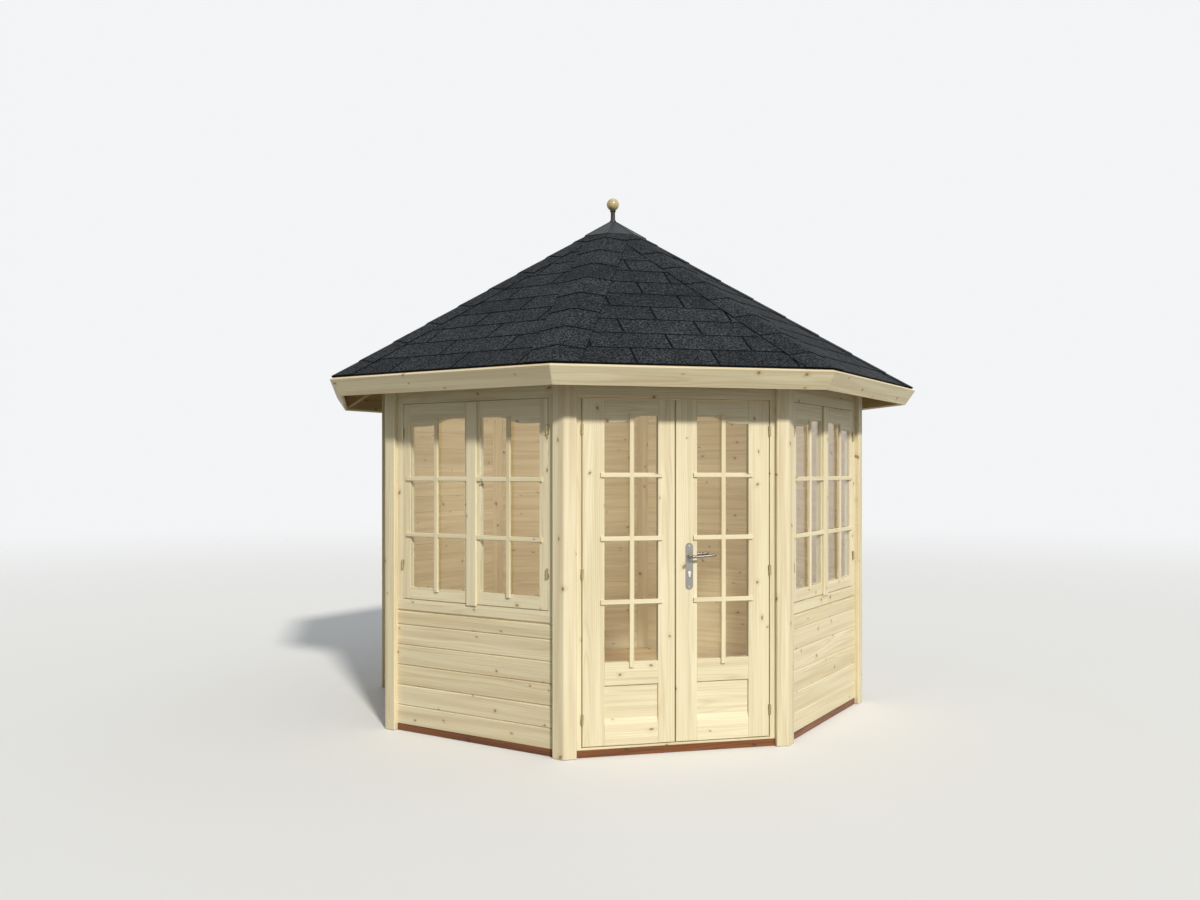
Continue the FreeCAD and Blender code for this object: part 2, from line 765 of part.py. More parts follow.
def slope_pieces(name, outline):
    """Eight like pieces of the roof slopes, as two sub-parts of four that do not touch."""
    for label, side in (("main", 0), ("diagonal", 1)):
        body = new_body(f"{name}_{label}", side)
        section(body, outline, eave_reach)
        mitre(body)
        repeat_round(body, SIDES // 2)
        keep(body)


def make_roof():
    drop_out, drop_down = d.fascia_width * slope_sine, d.fascia_width * slope_cosine
    into_out, into_up = d.fascia_thickness * slope_cosine, d.fascia_thickness * slope_sine
    board_out, board_up = eave_reach - into_out, eave_height + into_up
    slope_pieces("fascia_boards", [
        (eave_reach, eave_height),
        (board_out, board_up),
        (board_out - drop_out, board_up - drop_down),
        (eave_reach - drop_out, eave_height - drop_down),
    ])
    under_out = d.roof_board_thickness * slope_sine
    under_down = d.roof_board_thickness * slope_cosine
    slope_pieces("roof_boards", [
        (board_out, board_up),
        (d.roof_opening, roof_height(d.roof_opening)),
        (d.roof_opening, roof_height(d.roof_opening, -d.roof_board_thickness)),
        (board_out - under_out, board_up - under_down),
    ])
    slope_pieces("shingle_layer", [
        (board_out, board_up),
        (board_out + d.shingle_thickness * slope_sine, board_up + d.shingle_thickness * slope_cosine),
        (d.roof_opening, roof_height(d.roof_opening, d.shingle_thickness)),
        (d.roof_opening, roof_height(d.roof_opening)),
    ])
    make_rafters()
    make_crown()


def make_rafters():
    """Hip rafters from the fascia to the apex block, notched over the posts."""
    hip_rise = rise_of * HALF_COS
    backing = d.rafter_width / 2 * HALF_SIN * rise_of
    apex = roof_height(as_size(0), -d.roof_board_thickness) - backing

    def top(reach):
        return apex - hip_rise * reach

    def under(reach):
        return top(reach) - d.rafter_depth

    fascia_back = eave_reach - d.fascia_thickness * slope_cosine
    fascia_back_top = eave_height + d.fascia_thickness * slope_sine

    def fascia_reach(line_apex):
        """Distance from the centre, along the hip, at which a rafter edge meets the fascia."""
        numerator = fascia_back - (fascia_back_top - line_apex) * rise_of
        return numerator / (HALF_COS + hip_rise * rise_of)

    side_play = d.rafter_width / 2 * HALF_SIN
    upper_end = fascia_reach(apex) - side_play
    lower_end = fascia_reach(apex - d.rafter_depth) - side_play
    seat_inner = (apex - d.rafter_depth - post_top) / hip_rise
    seat_outer = post_front / HALF_COS
    outline = [
        (upper_end, top(upper_end)),
        (d.hub_reach, top(d.hub_reach)),
        (d.hub_reach, under(d.hub_reach)),
        (seat_inner, post_top),
        (seat_outer, post_top),
        (seat_outer, under(seat_outer)),
        (lower_end, under(lower_end)),
    ]
    body = new_body("hip_rafters", 0.5)
    section(body, outline, d.rafter_width / 2)
    repeat_round(body, SIDES)
    keep(body)


def octagon(reach, turned=False):
    """Corners of an octagon whose flats lie at a distance from the centre."""
    corner = reach / HALF_COS
    start = 0 if turned else 0.5
    corners = []
    for number in range(SIDES):
        angle = math.radians((number + start) * STEP)
        corners.append((corner * math.cos(angle), corner * math.sin(angle)))
    return corners


def bore_for_stem(body, top, depth):
    sketch = new_sketch(body, "XY_Plane", top)
    draw_circle(sketch, as_size(0), as_size(0), d.stem_radius)
    add_pocket(body, sketch, depth)


def make_crown():
    """Apex block, eight-sided roof cap, and the turned finial whose stem goes through both."""
    hub_top = roof_height(d.roof_opening)
    hub = new_body("apex_block")
    level(hub, octagon(d.hub_reach, turned=True), hub_top - d.hub_height, hub_top)
    bore_for_stem(hub, hub_top, d.hub_height)
    keep(hub)

    under, over = d.shingle_thickness, d.shingle_thickness + d.cap_thickness
    peak = d.stem_radius / 2
    cap = new_body("roof_cap")
    section(cap, [
        (d.cap_reach, roof_height(d.cap_reach, under)),
        (d.cap_reach, roof_height(d.cap_reach, over)),
        (peak, roof_height(peak, over)),
        (peak, roof_height(peak, under)),
    ], d.cap_reach)
    mitre(cap)
    repeat_round(cap, SIDES)
    bore_for_stem(cap, roof_height(peak, over), roof_height(peak) - hub_top)
    keep(cap)

    finial = new_body("finial")
    ball_bottom = roof_height(d.stem_radius, over) + d.neck_length
    half_opening = d.stem_radius / d.ball_radius
    ball_middle = ball_bottom + d.ball_radius * root_of_rest(half_opening)
    sketch = new_sketch(finial, "XZ_Plane", 0)
    draw(sketch, [
        (as_size(0), hub_top - d.hub_height),
        (d.stem_radius, hub_top - d.hub_height),
        (d.stem_radius, ball_bottom),
        Bend(as_size(0), ball_middle + d.ball_radius, d.ball_radius, clockwise=False),
    ])
    turned = finial.newObject("PartDesign::Revolution", "finial_turned")
    turned.Profile = sketch
    turned.ReferenceAxis = (sketch, ["V_Axis"])
    turned.Angle = 360
    keep(finial)


def check_document():
    """Stop if any object failed or any sub-part has no sound solid."""
    document.recompute()
    for item in document.Objects:
        if "Invalid" in item.State or "Error" in item.State:
            raise RuntimeError(f"{item.Label} failed: {item.State}")
    for node in nodes:
        if node.Shape.isNull() or not node.Shape.isValid() or not node.Shape.Solids:
            raise RuntimeError(f"{node.Label} has no valid solid")


def write_parts():
    os.makedirs("parts", exist_ok=True)
    for node in nodes:
        node.Shape.exportStep(os.path.join("parts", f"{node.Label}.step"))
        print(f"{node.Label}: {len(node.Shape.Solids)} solids, {node.Shape.Volume / 1e6:.2f} litres")


make_posts()
make_bearers()
make_floor()
make_walls()
make_head_beams()
make_windows()
make_door_frame()
make_leaf("left", LEFT)
make_leaf("right", RIGHT)
make_door_hinges()
make_lock()
make_roof()
check_document()
write_parts()
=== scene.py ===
"""Looks of an octagonal timber garden pavilion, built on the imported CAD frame.

Every board, bar, shingle and fitting is a mesh of its own size in metres, in the CAD
frame: +Z up, the door wall faces -Y. Pieces of one wall are laid out in the front wall's
place (u to the right, reach outward, z up) and turned about Z to their side.
"""

import logging
import math
import random
from dataclasses import dataclass, field
from enum import Enum
from functools import cache
from typing import Callable, Iterable, Sequence

import bmesh
import bpy
from mathutils import Matrix, Vector


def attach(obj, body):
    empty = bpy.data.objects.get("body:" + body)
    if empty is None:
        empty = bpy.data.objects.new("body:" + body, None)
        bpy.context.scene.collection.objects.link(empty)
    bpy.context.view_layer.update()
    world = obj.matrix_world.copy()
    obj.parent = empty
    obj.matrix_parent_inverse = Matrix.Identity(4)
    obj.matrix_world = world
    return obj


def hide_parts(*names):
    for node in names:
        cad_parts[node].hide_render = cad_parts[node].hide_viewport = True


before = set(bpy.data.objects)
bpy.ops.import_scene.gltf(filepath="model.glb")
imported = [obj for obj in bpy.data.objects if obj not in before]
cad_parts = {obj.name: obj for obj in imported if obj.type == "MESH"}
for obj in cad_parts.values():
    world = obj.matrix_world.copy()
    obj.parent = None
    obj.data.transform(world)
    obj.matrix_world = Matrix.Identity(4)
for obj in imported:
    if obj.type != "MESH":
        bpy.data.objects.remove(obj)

LOG = logging.getLogger("pavilion")
SIDES = 8
HALF_TAN = math.tan(math.pi / SIDES)
HALF_COS = math.cos(math.pi / SIDES)
SHARP_EDGE = math.radians(20)
SOFT_EDGE = 0.0012
BOARD_TRIM = 0.0002
RING_SPACING = 0.0075
HINGE_BELOW = 0.028
HINGE_LENGTH = 0.0275
Point = tuple[float, float]
Ring = list[Vector]


class Side(Enum):
    """Walls and slopes, as a number of eighth turns from the door wall."""

    FRONT = 0
    RIGHT_WINDOW = 1
    RIGHT = 2
    BACK_RIGHT = 3
    BACK = 4
    BACK_LEFT = -3
    LEFT = -2
    LEFT_WINDOW = -1

    def turn(self) -> float:
        """Returns: the side's angle about Z in radians."""
        return self.value * 2 * math.pi / SIDES

    def matrix(self) -> Matrix:
        """Returns: the turn from the front wall's place to this side."""
        return Matrix.Rotation(self.turn(), 4, "Z")


class Hand(Enum):
    """Left or right of the middle, seen from outside."""

    LEFT = -1
    RIGHT = 1


class Grain(Enum):
    """Direction of the wood's fibres in the piece's own wall frame."""

    ACROSS = (Vector((1, 0, 0)), Vector((0, 0, 1)))
    UPRIGHT = (Vector((0, 0, 1)), Vector((1, 0, 0)))
    INWARD = (Vector((0, 1, 0)), Vector((1, 0, 0)))


class GrainSource(Enum):
    """Where a wood material reads its place in the board from."""

    ATTRIBUTE = "grain_at"
    OBJECT = "object coordinates"


@dataclass(frozen=True)
class Plan:
    """Sizes shared by the sub-assemblies, in metres and degrees."""

    wall_face: float = 1.500
    wall_inner: float = 1.472
    frame_inner: float = 1.450
    door_frame: float = 0.0305
    door_gap: float = 0.005
    leaf_stile: float = 0.120
    window_frame: float = 0.045
    window_gap: float = 0.0025
    sash_stile: float = 0.053
    post_front: float = 1.527
    post_face: float = 0.072
    post_top: float = 2.140
    bearer_height: float = 0.040
    floor_top: float = 0.051
    deck_thickness: float = 0.019
    door_head: float = 1.905
    head_height: float = 0.060
    wall_top: float = 2.080
    beam_width: float = 0.045
    beam_height: float = 0.149
    sill_bottom: float = 0.705
    sill_top: float = 0.769
    arch_low: float = 1.772
    arch_rise: float = 0.039
    eave_overhang: float = 0.338
    pitch: float = 32.5
    fascia_width: float = 0.110
    board: float = 0.019
    roof_opening: float = 0.070

    @property
    def clear_half(self) -> float:
        """Returns: half the clear width between two corner posts."""
        return self.post_front * HALF_TAN - self.post_face

    @property
    def door_half(self) -> float:
        """Returns: middle of the door to a jamb."""
        return self.clear_half - self.door_frame

    @property
    def leaf_half(self) -> float:
        """Returns: middle of the door to the outer edge of a leaf."""
        return self.door_half - self.door_gap

    @property
    def sash_half(self) -> float:
        """Returns: middle of a window to the outer edge of a sash."""
        return self.clear_half - self.window_frame - self.window_gap

    @property
    def rise(self) -> float:
        """Returns: the slope's rise for each metre of reach."""
        return math.tan(math.radians(self.pitch))

    @property
    def slope_sine(self) -> float:
        """Returns: sine of the roof's pitch."""
        return math.sin(math.radians(self.pitch))

    @property
    def slope_cosine(self) -> float:
        """Returns: cosine of the roof's pitch."""
        return math.cos(math.radians(self.pitch))

    @property
    def eave_reach(self) -> float:
        """Returns: reach of the fascia's upper front edge."""
        return self.wall_face + self.eave_overhang

    @property
    def board_apex(self) -> float:
        """Returns: height of the roof boards' upper plane over the middle."""
        lift = self.board / self.slope_cosine
        return self.wall_top + self.beam_height + lift + self.wall_face * self.rise

    @property
    def board_reach(self) -> float:
        """Returns: reach of the roof boards' lower edge, behind the fascia."""
        return self.eave_reach - self.board * self.slope_cosine

    def roof_height(self, reach: float, above: float = 0.0) -> float:
        """Height of a plane parallel to the roof.

        Args:
            reach: distance from the middle towards the eave.
            above: offset from the boards' upper face, square to the slope.
        Returns: the height in metres.
        """
        return self.board_apex - reach * self.rise + above / self.slope_cosine

    def on_slope(self, along: float, above: float) -> Point:
        """A point given along and above the slope.

        Args:
            along: distance up the slope from the boards' lower edge.
            above: offset square to the slope from the boards' upper face.
        Returns: its reach and height.
        """
        reach = self.board_reach - along * self.slope_cosine + above * self.slope_sine
        height = self.roof_height(self.board_reach) + along * self.slope_sine
        return reach, height + above * self.slope_cosine


PLAN = Plan()


# Node trees


class TreeBuilder:
    """Short calls that add and join nodes of a shader or geometry tree."""

    def __init__(self, tree: bpy.types.NodeTree) -> None:
        """Args:
            tree: the tree to fill.
        """
        self.tree = tree

    def node(self, kind: str, inputs: dict | None = None, **settings: object) -> bpy.types.Node:
        """Add a node.

        Args:
            kind: the node's type name.
            inputs: values or sockets for its inputs, by name or index.
            settings: the node's own properties.
        Returns: the new node.
        """
        made = self.tree.nodes.new(kind)
        for name, value in settings.items():
            setattr(made, name, value)
        for key, value in (inputs or {}).items():
            self.feed(made, key, value)
        return made

    def feed(self, node: bpy.types.Node, key: str | int, value: object) -> None:
        """Link a socket, or set a constant, on one input of a node.

        Args:
            node: the node.
            key: the input's name or index.
            value: a socket to link or a constant.
        """
        if isinstance(key, int):
            socket = node.inputs[key]
        else:
            socket = next(s for s in node.inputs if s.enabled and s.name == key)
        if isinstance(value, bpy.types.NodeSocket):
            self.tree.links.new(value, socket)
        else:
            socket.default_value = value

    def math(self, operation: str, *terms: object, clamp: bool = False) -> bpy.types.NodeSocket:
        """Args:
            operation: the Math node's operation.
            terms: its operands.
            clamp: whether the result stays between 0 and 1.
        Returns: the result socket.
        """
        made = self.node("ShaderNodeMath", dict(enumerate(terms)), operation=operation, use_clamp=clamp)
        return made.outputs[0]

    def vector(self, operation: str, *terms: object) -> bpy.types.NodeSocket:
        """Args:
            operation: the Vector Math node's operation.
            terms: its operands.
        Returns: the result socket.
        """
        made = self.node("ShaderNodeVectorMath", dict(enumerate(terms)), operation=operation)
        return made.outputs["Value" if operation in ("LENGTH", "DOT_PRODUCT") else "Vector"]

    def remap(self, value: object, low: float, high: float, to_low: float = 0.0,
              to_high: float = 1.0, smooth: bool = True) -> bpy.types.NodeSocket:
        """Args:
            value: the input socket.
            low: input that gives to_low.
            high: input that gives to_high.
            to_low: result at low.
            to_high: result at high.
            smooth: whether the ramp eases in and out.
        Returns: the result socket.
        """
        kind = "SMOOTHSTEP" if smooth else "LINEAR"
        terms = {"Value": value, "From Min": low, "From Max": high, "To Min": to_low, "To Max": to_high}
        return self.node("ShaderNodeMapRange", terms, interpolation_type=kind).outputs["Result"]

    def mix(self, factor: object, first: object, second: object, blend: str = "MIX") -> bpy.types.NodeSocket:
        """Args:
            factor: share of the second colour.
            first: a colour.
            second: a colour.
            blend: the blend mode.
        Returns: the mixed colour socket.
        """
        inputs = {0: factor, 6: first, 7: second}
        return self.node("ShaderNodeMix", inputs, data_type="RGBA", blend_type=blend).outputs[2]

    def noise(self, place: object, scale: float, detail: float = 2.0,
              roughness: float = 0.5) -> bpy.types.NodeSocket:
        """Args:
            place: coordinates.
            scale: noise scale.
            detail: octaves.
            roughness: share of the finer octaves.
        Returns: the noise value socket.
        """
        inputs = {"Vector": place, "Scale": scale, "Detail": detail, "Roughness": roughness}
        return self.node("ShaderNodeTexNoise", inputs).outputs[0]


    def attribute(self, name: str, output: str = "Fac") -> bpy.types.NodeSocket:
        """Args:
            name: a mesh attribute that a shader reads.
            output: Fac, Color or Vector.
        Returns: its socket.
        """
        return self.node("ShaderNodeAttribute", attribute_name=name).outputs[output]

    def object_place(self) -> bpy.types.NodeSocket:
        """Returns: the object's own coordinates in a shader."""
        return self.node("ShaderNodeTexCoord").outputs["Object"]

    def named(self, name: str, kind: str = "FLOAT") -> bpy.types.NodeSocket:
        """Args:
            name: a mesh attribute that geometry nodes read.
            kind: its data type.
        Returns: its socket.
        """
        made = self.node("GeometryNodeInputNamedAttribute", {"Name": name}, data_type=kind)
        return next(socket for socket in made.outputs if socket.enabled)

    def store(self, geometry: object, name: str, value: object, kind: str = "FLOAT",
              domain: str = "POINT", **more: object) -> bpy.types.NodeSocket:
        """Args:
            geometry: the geometry to write on.
            name: the attribute's name.
            value: its value.
            kind: its data type.
            domain: its domain.
            more: further inputs, such as Selection.
        Returns: the geometry with the attribute.
        """
        inputs = {"Geometry": geometry, "Name": name, "Value": value, **more}
        made = self.node("GeometryNodeStoreNamedAttribute", inputs, data_type=kind, domain=domain)
        return made.outputs[0]

    def random_tone(self, given: bpy.types.Node) -> bpy.types.NodeSocket:
        """Args:
            given: the group's input node, with Tone Spread and Seed.
        Returns: a random value between minus and plus the spread.
        """
        spread = given.outputs["Tone Spread"]
        inputs = {"Min": self.math("MULTIPLY", spread, -1.0), "Max": spread, "Seed": given.outputs["Seed"]}
        chance = self.node("FunctionNodeRandomValue", inputs, data_type="FLOAT")
        return next(socket for socket in chance.outputs if socket.enabled)


SURFACE = (("Color", "NodeSocketColor"), ("Roughness", "NodeSocketFloat"), ("Height", "NodeSocketFloat"))


def new_group(name: str, kind: str, inputs: Sequence[tuple], outputs: Sequence[tuple]) -> tuple:
    """Make a node group with named sockets.

    Args:
        name: the group's name.
        kind: tree type.
        inputs: (name, socket type, default or None) for each input.
        outputs: (name, socket type) for each output.
    Returns: the tree, its builder, and its input and output nodes.
    """
    tree = bpy.data.node_groups.new(name, kind)
    for label, socket, default in inputs:
        made = tree.interface.new_socket(name=label, in_out="INPUT", socket_type=socket)
        if default is not None:
            made.default_value = default
    for label, socket in outputs:
        tree.interface.new_socket(name=label, in_out="OUTPUT", socket_type=socket)
    build = TreeBuilder(tree)
    return tree, build, build.node("NodeGroupInput"), build.node("NodeGroupOutput")


@cache
def wood_group() -> bpy.types.NodeTree:
    """Softwood seen close: year rings, fibres, sparse knots and a tone for each board.

    Returns: the shader node group, made on first use.
    """
    tree, b, given, result = new_group(
        "Softwood", "ShaderNodeTree",
        [("Place", "NodeSocketVector", None), ("Tone", "NodeSocketFloat", 0.0),
         ("Light", "NodeSocketColor", None), ("Dark", "NodeSocketColor", None),
         ("Knot", "NodeSocketColor", None), ("Knot Share", "NodeSocketFloat", 0.3),
         ("Contrast", "NodeSocketFloat", 0.5)],
        SURFACE)
    place = given.outputs["Place"]
    parts = b.node("ShaderNodeSeparateXYZ", {0: place})
    flat = b.node("ShaderNodeCombineXYZ", {0: b.math("MULTIPLY", parts.outputs[0], 5.6),
                                           1: b.math("MULTIPLY", parts.outputs[1], 7.4), 2: 0.0}).outputs[0]

    def drawn(along: float, across: float, detail: float, roughness: float = 0.5) -> bpy.types.NodeSocket:
        """Returns: noise drawn out along the fibres."""
        return b.noise(b.vector("MULTIPLY", place, (along, across, across)), 1.0, detail, roughness)

    wander = drawn(5.0, 9.0, 1.0)
    spread = b.vector("ADD", flat, b.vector("MULTIPLY", (0.6, 0.6, 0.0), wander))
    cells = b.node("ShaderNodeTexVoronoi", {"Vector": spread, "Scale": 1.0}, voronoi_dimensions="2D")
    pick = b.node("ShaderNodeSeparateColor", {0: cells.outputs["Color"]})
    present = b.math("LESS_THAN", pick.outputs[0], given.outputs["Knot Share"])
    size = b.remap(pick.outputs[1], 0.0, 1.0, 0.032, 0.072, smooth=False)
    near = b.math("DIVIDE", cells.outputs["Distance"], size)
    core = b.math("MULTIPLY", present, b.remap(near, 0.62, 1.05, 1.0, 0.0))
    halo = b.math("MULTIPLY", present, b.remap(near, 0.8, 3.2, 1.0, 0.0))
    bend = b.math("MULTIPLY", halo, 0.010)

    sway = drawn(0.9, 6.0, 2.0)
    pith = b.vector("MULTIPLY", place, (0.0, 1.0, 1.0))
    radius = b.math("ADD", b.vector("LENGTH", pith), b.math("MULTIPLY", b.math("SUBTRACT", sway, 0.5), 0.05))
    radius = b.math("ADD", radius, bend)
    turn = b.math("MULTIPLY", radius, 2 * math.pi / RING_SPACING)
    ring = b.math("POWER", b.remap(b.math("SINE", turn), -1.0, 1.0, 0.0, 1.0, smooth=False), 3.0)
    streak, fibre = drawn(2.2, 70.0, 3.0, 0.6), drawn(14.0, 520.0, 2.0)
    cloud, band = drawn(0.8, 4.0, 2.0), drawn(0.9, 26.0, 1.0)

    lines = b.math("MULTIPLY", ring, 0.50)
    for layer, low, high, weight in ((streak, 0.3, 0.7, 0.45), (cloud, 0.3, 0.7, 0.25), (band, 0.38, 0.72, 0.65)):
        lines = b.math("ADD", lines, b.math("MULTIPLY", b.remap(layer, low, high), weight))
    share = b.math("MULTIPLY", lines, given.outputs["Contrast"], clamp=True)
    colour = b.mix(share, given.outputs["Light"], given.outputs["Dark"])
    warmer = b.math("MULTIPLY", halo, 0.45)
    colour = b.mix(warmer, colour, given.outputs["Dark"])
    colour = b.mix(b.math("MULTIPLY", core, 0.85), colour, given.outputs["Knot"])
    value = b.math("ADD", 1.0, given.outputs["Tone"])
    blotch = b.remap(cloud, 0.25, 0.75, 0.97, 1.03, smooth=False)
    toned = b.node("ShaderNodeHueSaturation", {
        "Color": colour, "Value": b.math("MULTIPLY", value, blotch),
        "Saturation": b.math("SUBTRACT", 1.0, given.outputs["Tone"])})
    b.feed(result, "Color", toned.outputs[0])
    b.feed(result, "Roughness", b.remap(lines, 0.0, 1.0, 0.52, 0.62, smooth=False))
    height = b.math("ADD", b.math("MULTIPLY", fibre, 0.35), b.math("MULTIPLY", streak, 0.45))
    b.feed(result, "Height", b.math("SUBTRACT", height, b.math("MULTIPLY", core, 0.5)))
    return tree


@cache
def shingle_group() -> bpy.types.NodeTree:
    """Mineral granules on bitumen, with bare dark cut edges, a dark band of painted shade along each tab's rims, and
    a tone for each tab.

    Returns: the shader node group, made on first use.
    """
    tree, b, given, result = new_group(
        "Granules", "ShaderNodeTree",
        [("Place", "NodeSocketVector", None), ("Tone", "NodeSocketFloat", 0.0),
         ("Edge", "NodeSocketFloat", 0.0), ("Rim", "NodeSocketVector", None), ("Base", "NodeSocketColor", None),
         ("Fleck", "NodeSocketColor", None), ("Bitumen", "NodeSocketColor", None)],
        SURFACE)
    place = given.outputs["Place"]
    grains = b.node("ShaderNodeTexVoronoi", {"Vector": place, "Scale": 300.0})
    pick = b.node("ShaderNodeSeparateColor", {0: grains.outputs["Color"]})
    coarse = b.noise(place, 90.0, 3.0, 0.75)
    patch = b.noise(place, 6.0, 2.0)
    fleck = b.math("ADD", b.remap(pick.outputs[0], 0.72, 1.0, 0.0, 0.75),
                   b.remap(coarse, 0.48, 0.60, 0.0, 0.72))
    colour = b.mix(b.math("MULTIPLY", fleck, 1.0, clamp=True), given.outputs["Base"], given.outputs["Fleck"])
    value = b.math("MULTIPLY", b.math("ADD", 1.0, given.outputs["Tone"]),
                   b.remap(patch, 0.3, 0.7, 0.85, 1.15))
    toned = b.node("ShaderNodeHueSaturation", {"Color": colour, "Value": value})
    # Painted shade: a band along each tab's rims darkens toward bitumen, standing in for the shadow lines at laps and
    # slots; bare below joins it with the really bare cut edges.
    rim = b.node("ShaderNodeSeparateXYZ", {0: given.outputs["Rim"]}).outputs
    near = b.math("MINIMUM", b.math("MINIMUM", rim[0], rim[1]), rim[2])
    near = b.math("ADD", near, b.math("MULTIPLY", b.math("SUBTRACT", coarse, 0.5), 0.008))
    bare = b.math("MAXIMUM", given.outputs["Edge"], b.remap(near, 0.0015, 0.0065, 0.85, 0.0))
    colour = b.mix(bare, toned.outputs[0], given.outputs["Bitumen"])
    b.feed(result, "Color", colour)
    b.feed(result, "Roughness", b.remap(pick.outputs[1], 0.0, 1.0, 0.72, 0.95, smooth=False))
    rough = b.math("ADD", b.math("MULTIPLY", grains.outputs["Distance"], -0.6), coarse)
    b.feed(result, "Height", rough)
    return tree


@cache
def wear_group() -> bpy.types.NodeTree:
    """Faint clouds and fine scratches for metal and paint.

    Returns: the shader node group, made on first use.
    """
    tree, b, given, result = new_group(
        "Fine Wear", "ShaderNodeTree",
        [("Place", "NodeSocketVector", None), ("Color", "NodeSocketColor", None),
         ("Roughness", "NodeSocketFloat", 0.4), ("Amount", "NodeSocketFloat", 0.1)],
        SURFACE)
    place = given.outputs["Place"]
    cloud = b.noise(place, 22.0, 3.0, 0.6)
    brushed = b.noise(b.vector("MULTIPLY", place, (900.0, 900.0, 40.0)), 1.0, 2.0)
    shift = b.math("MULTIPLY", b.math("SUBTRACT", cloud, 0.5), given.outputs["Amount"])
    value = b.math("ADD", 1.0, shift)
    toned = b.node("ShaderNodeHueSaturation", {"Color": given.outputs["Color"], "Value": value})
    b.feed(result, "Color", toned.outputs[0])
    b.feed(result, "Roughness", b.math("ADD", given.outputs["Roughness"], shift, clamp=True))
    b.feed(result, "Height", brushed)
    return tree


# Finishes


@dataclass(frozen=True)
class WoodFinish:
    """A softwood surface."""

    name: str
    light: tuple[float, float, float]
    dark: tuple[float, float, float]
    knot: tuple[float, float, float] = (0.25, 0.160, 0.075)
    knot_share: float = 0.30
    contrast: float = 0.55
    gloss: float = 0.0
    source: GrainSource = GrainSource.ATTRIBUTE

    @cache
    def material(self) -> bpy.types.Material:
        """Returns: the Blender material, made on first use."""
        made, b, shader = new_material(self.name)
        in_board = self.source is GrainSource.ATTRIBUTE
        place = b.attribute("grain_at", "Vector") if in_board else b.object_place()
        values = {"Place": place, "Tone": b.attribute("tone"), "Light": (*self.light, 1), "Dark": (*self.dark, 1),
                  "Knot": (*self.knot, 1), "Knot Share": self.knot_share, "Contrast": self.contrast}
        finish_surface(b, shader, wood_group(), values, bump=0.00035)
        shader.inputs["Coat Weight"].default_value = self.gloss
        shader.inputs["Coat Roughness"].default_value = 0.12
        return made


@dataclass(frozen=True)
class ShingleFinish:
    """Granule-faced bitumen."""

    name: str
    base: tuple[float, float, float]
    fleck: tuple[float, float, float]
    bitumen: tuple[float, float, float] = (0.006, 0.006, 0.007)

    @cache
    def material(self) -> bpy.types.Material:
        """Returns: the Blender material, made on first use."""
        made, b, shader = new_material(self.name)
        values = {"Place": b.object_place(), "Tone": b.attribute("tone"), "Edge": b.attribute("edge"),
                  "Rim": b.attribute("rim", "Vector"), "Base": (*self.base, 1), "Fleck": (*self.fleck, 1),
                  "Bitumen": (*self.bitumen, 1)}
        finish_surface(b, shader, shingle_group(), values, bump=0.0012)
        shader.inputs["Specular IOR Level"].default_value = 0.08
        return made


@dataclass(frozen=True)
class MetalFinish:
    """Bare or painted metal with faint wear."""

    name: str
    colour: tuple[float, float, float]
    roughness: float
    metallic: float = 1.0
    amount: float = 0.12
    specular: float = 0.5

    @cache
    def material(self) -> bpy.types.Material:
        """Returns: the Blender material, made on first use."""
        made, b, shader = new_material(self.name)
        values = {"Place": b.object_place(), "Color": (*self.colour, 1), "Roughness": self.roughness,
                  "Amount": self.amount}
        finish_surface(b, shader, wear_group(), values, bump=0.00004)
        shader.inputs["Metallic"].default_value = self.metallic
        shader.inputs["Specular IOR Level"].default_value = self.specular
        return made


@dataclass(frozen=True)
class GlassFinish:
    """Clear float glass that lets lamp light through."""

    name: str
    tint: tuple[float, float, float]

    @cache
    def material(self) -> bpy.types.Material:
        """Returns: the Blender material, made on first use."""
        made, b, shader = new_material(self.name)
        shader.inputs["Base Color"].default_value = (*self.tint, 1)
        shader.inputs["Metallic"].default_value = 0.0
        shader.inputs["Roughness"].default_value = 0.015
        shader.inputs["IOR"].default_value = 1.5
        shader.inputs["Transmission Weight"].default_value = 1.0
        clear = b.node("ShaderNodeBsdfTransparent", {"Color": (0.93, 0.95, 0.94, 1)})
        path = b.node("ShaderNodeLightPath")
        passing = b.math("MAXIMUM", path.outputs["Is Shadow Ray"], path.outputs["Is Diffuse Ray"])
        blend_surface(b, passing, shader, clear)
        return made


def new_material(name: str) -> tuple:
    """Args:
        name: the material's name.
    Returns: the material, its tree builder and its Principled node.
    """
    made = bpy.data.materials.new(name)
    made.use_nodes = True
    shader = next(node for node in made.node_tree.nodes if node.type == "BSDF_PRINCIPLED")
    return made, TreeBuilder(made.node_tree), shader


def blend_surface(b: TreeBuilder, factor: object, first: bpy.types.Node, second: bpy.types.Node) -> None:
    """Show a mix of two shaders.

    Args:
        b: the material's tree builder.
        factor: share of the second shader.
        first: a shader node.
        second: a shader node.
    """
    mixed = b.node("ShaderNodeMixShader", {0: factor, 1: first.outputs[0], 2: second.outputs[0]})
    output = next(node for node in b.tree.nodes if node.type == "OUTPUT_MATERIAL")
    b.tree.links.new(mixed.outputs[0], output.inputs["Surface"])


def finish_surface(b: TreeBuilder, shader: bpy.types.Node, tree: bpy.types.NodeTree, values: dict,
                   bump: float) -> None:
    """Join a surface group to the shader.

    Args:
        b: the material's tree builder.
        shader: its Principled node.
        tree: the group that gives Color, Roughness and Height.
        values: the group's inputs by name.
        bump: relief in metres.
    """
    group = b.node("ShaderNodeGroup", node_tree=tree)
    for key, value in values.items():
        b.feed(group, key, value)
    b.feed(shader, "Base Color", group.outputs["Color"])
    b.feed(shader, "Roughness", group.outputs["Roughness"])
    relief = b.node("ShaderNodeBump", {"Distance": bump, "Strength": 0.8, "Height": group.outputs["Height"]})
    b.feed(shader, "Normal", relief.outputs[0])


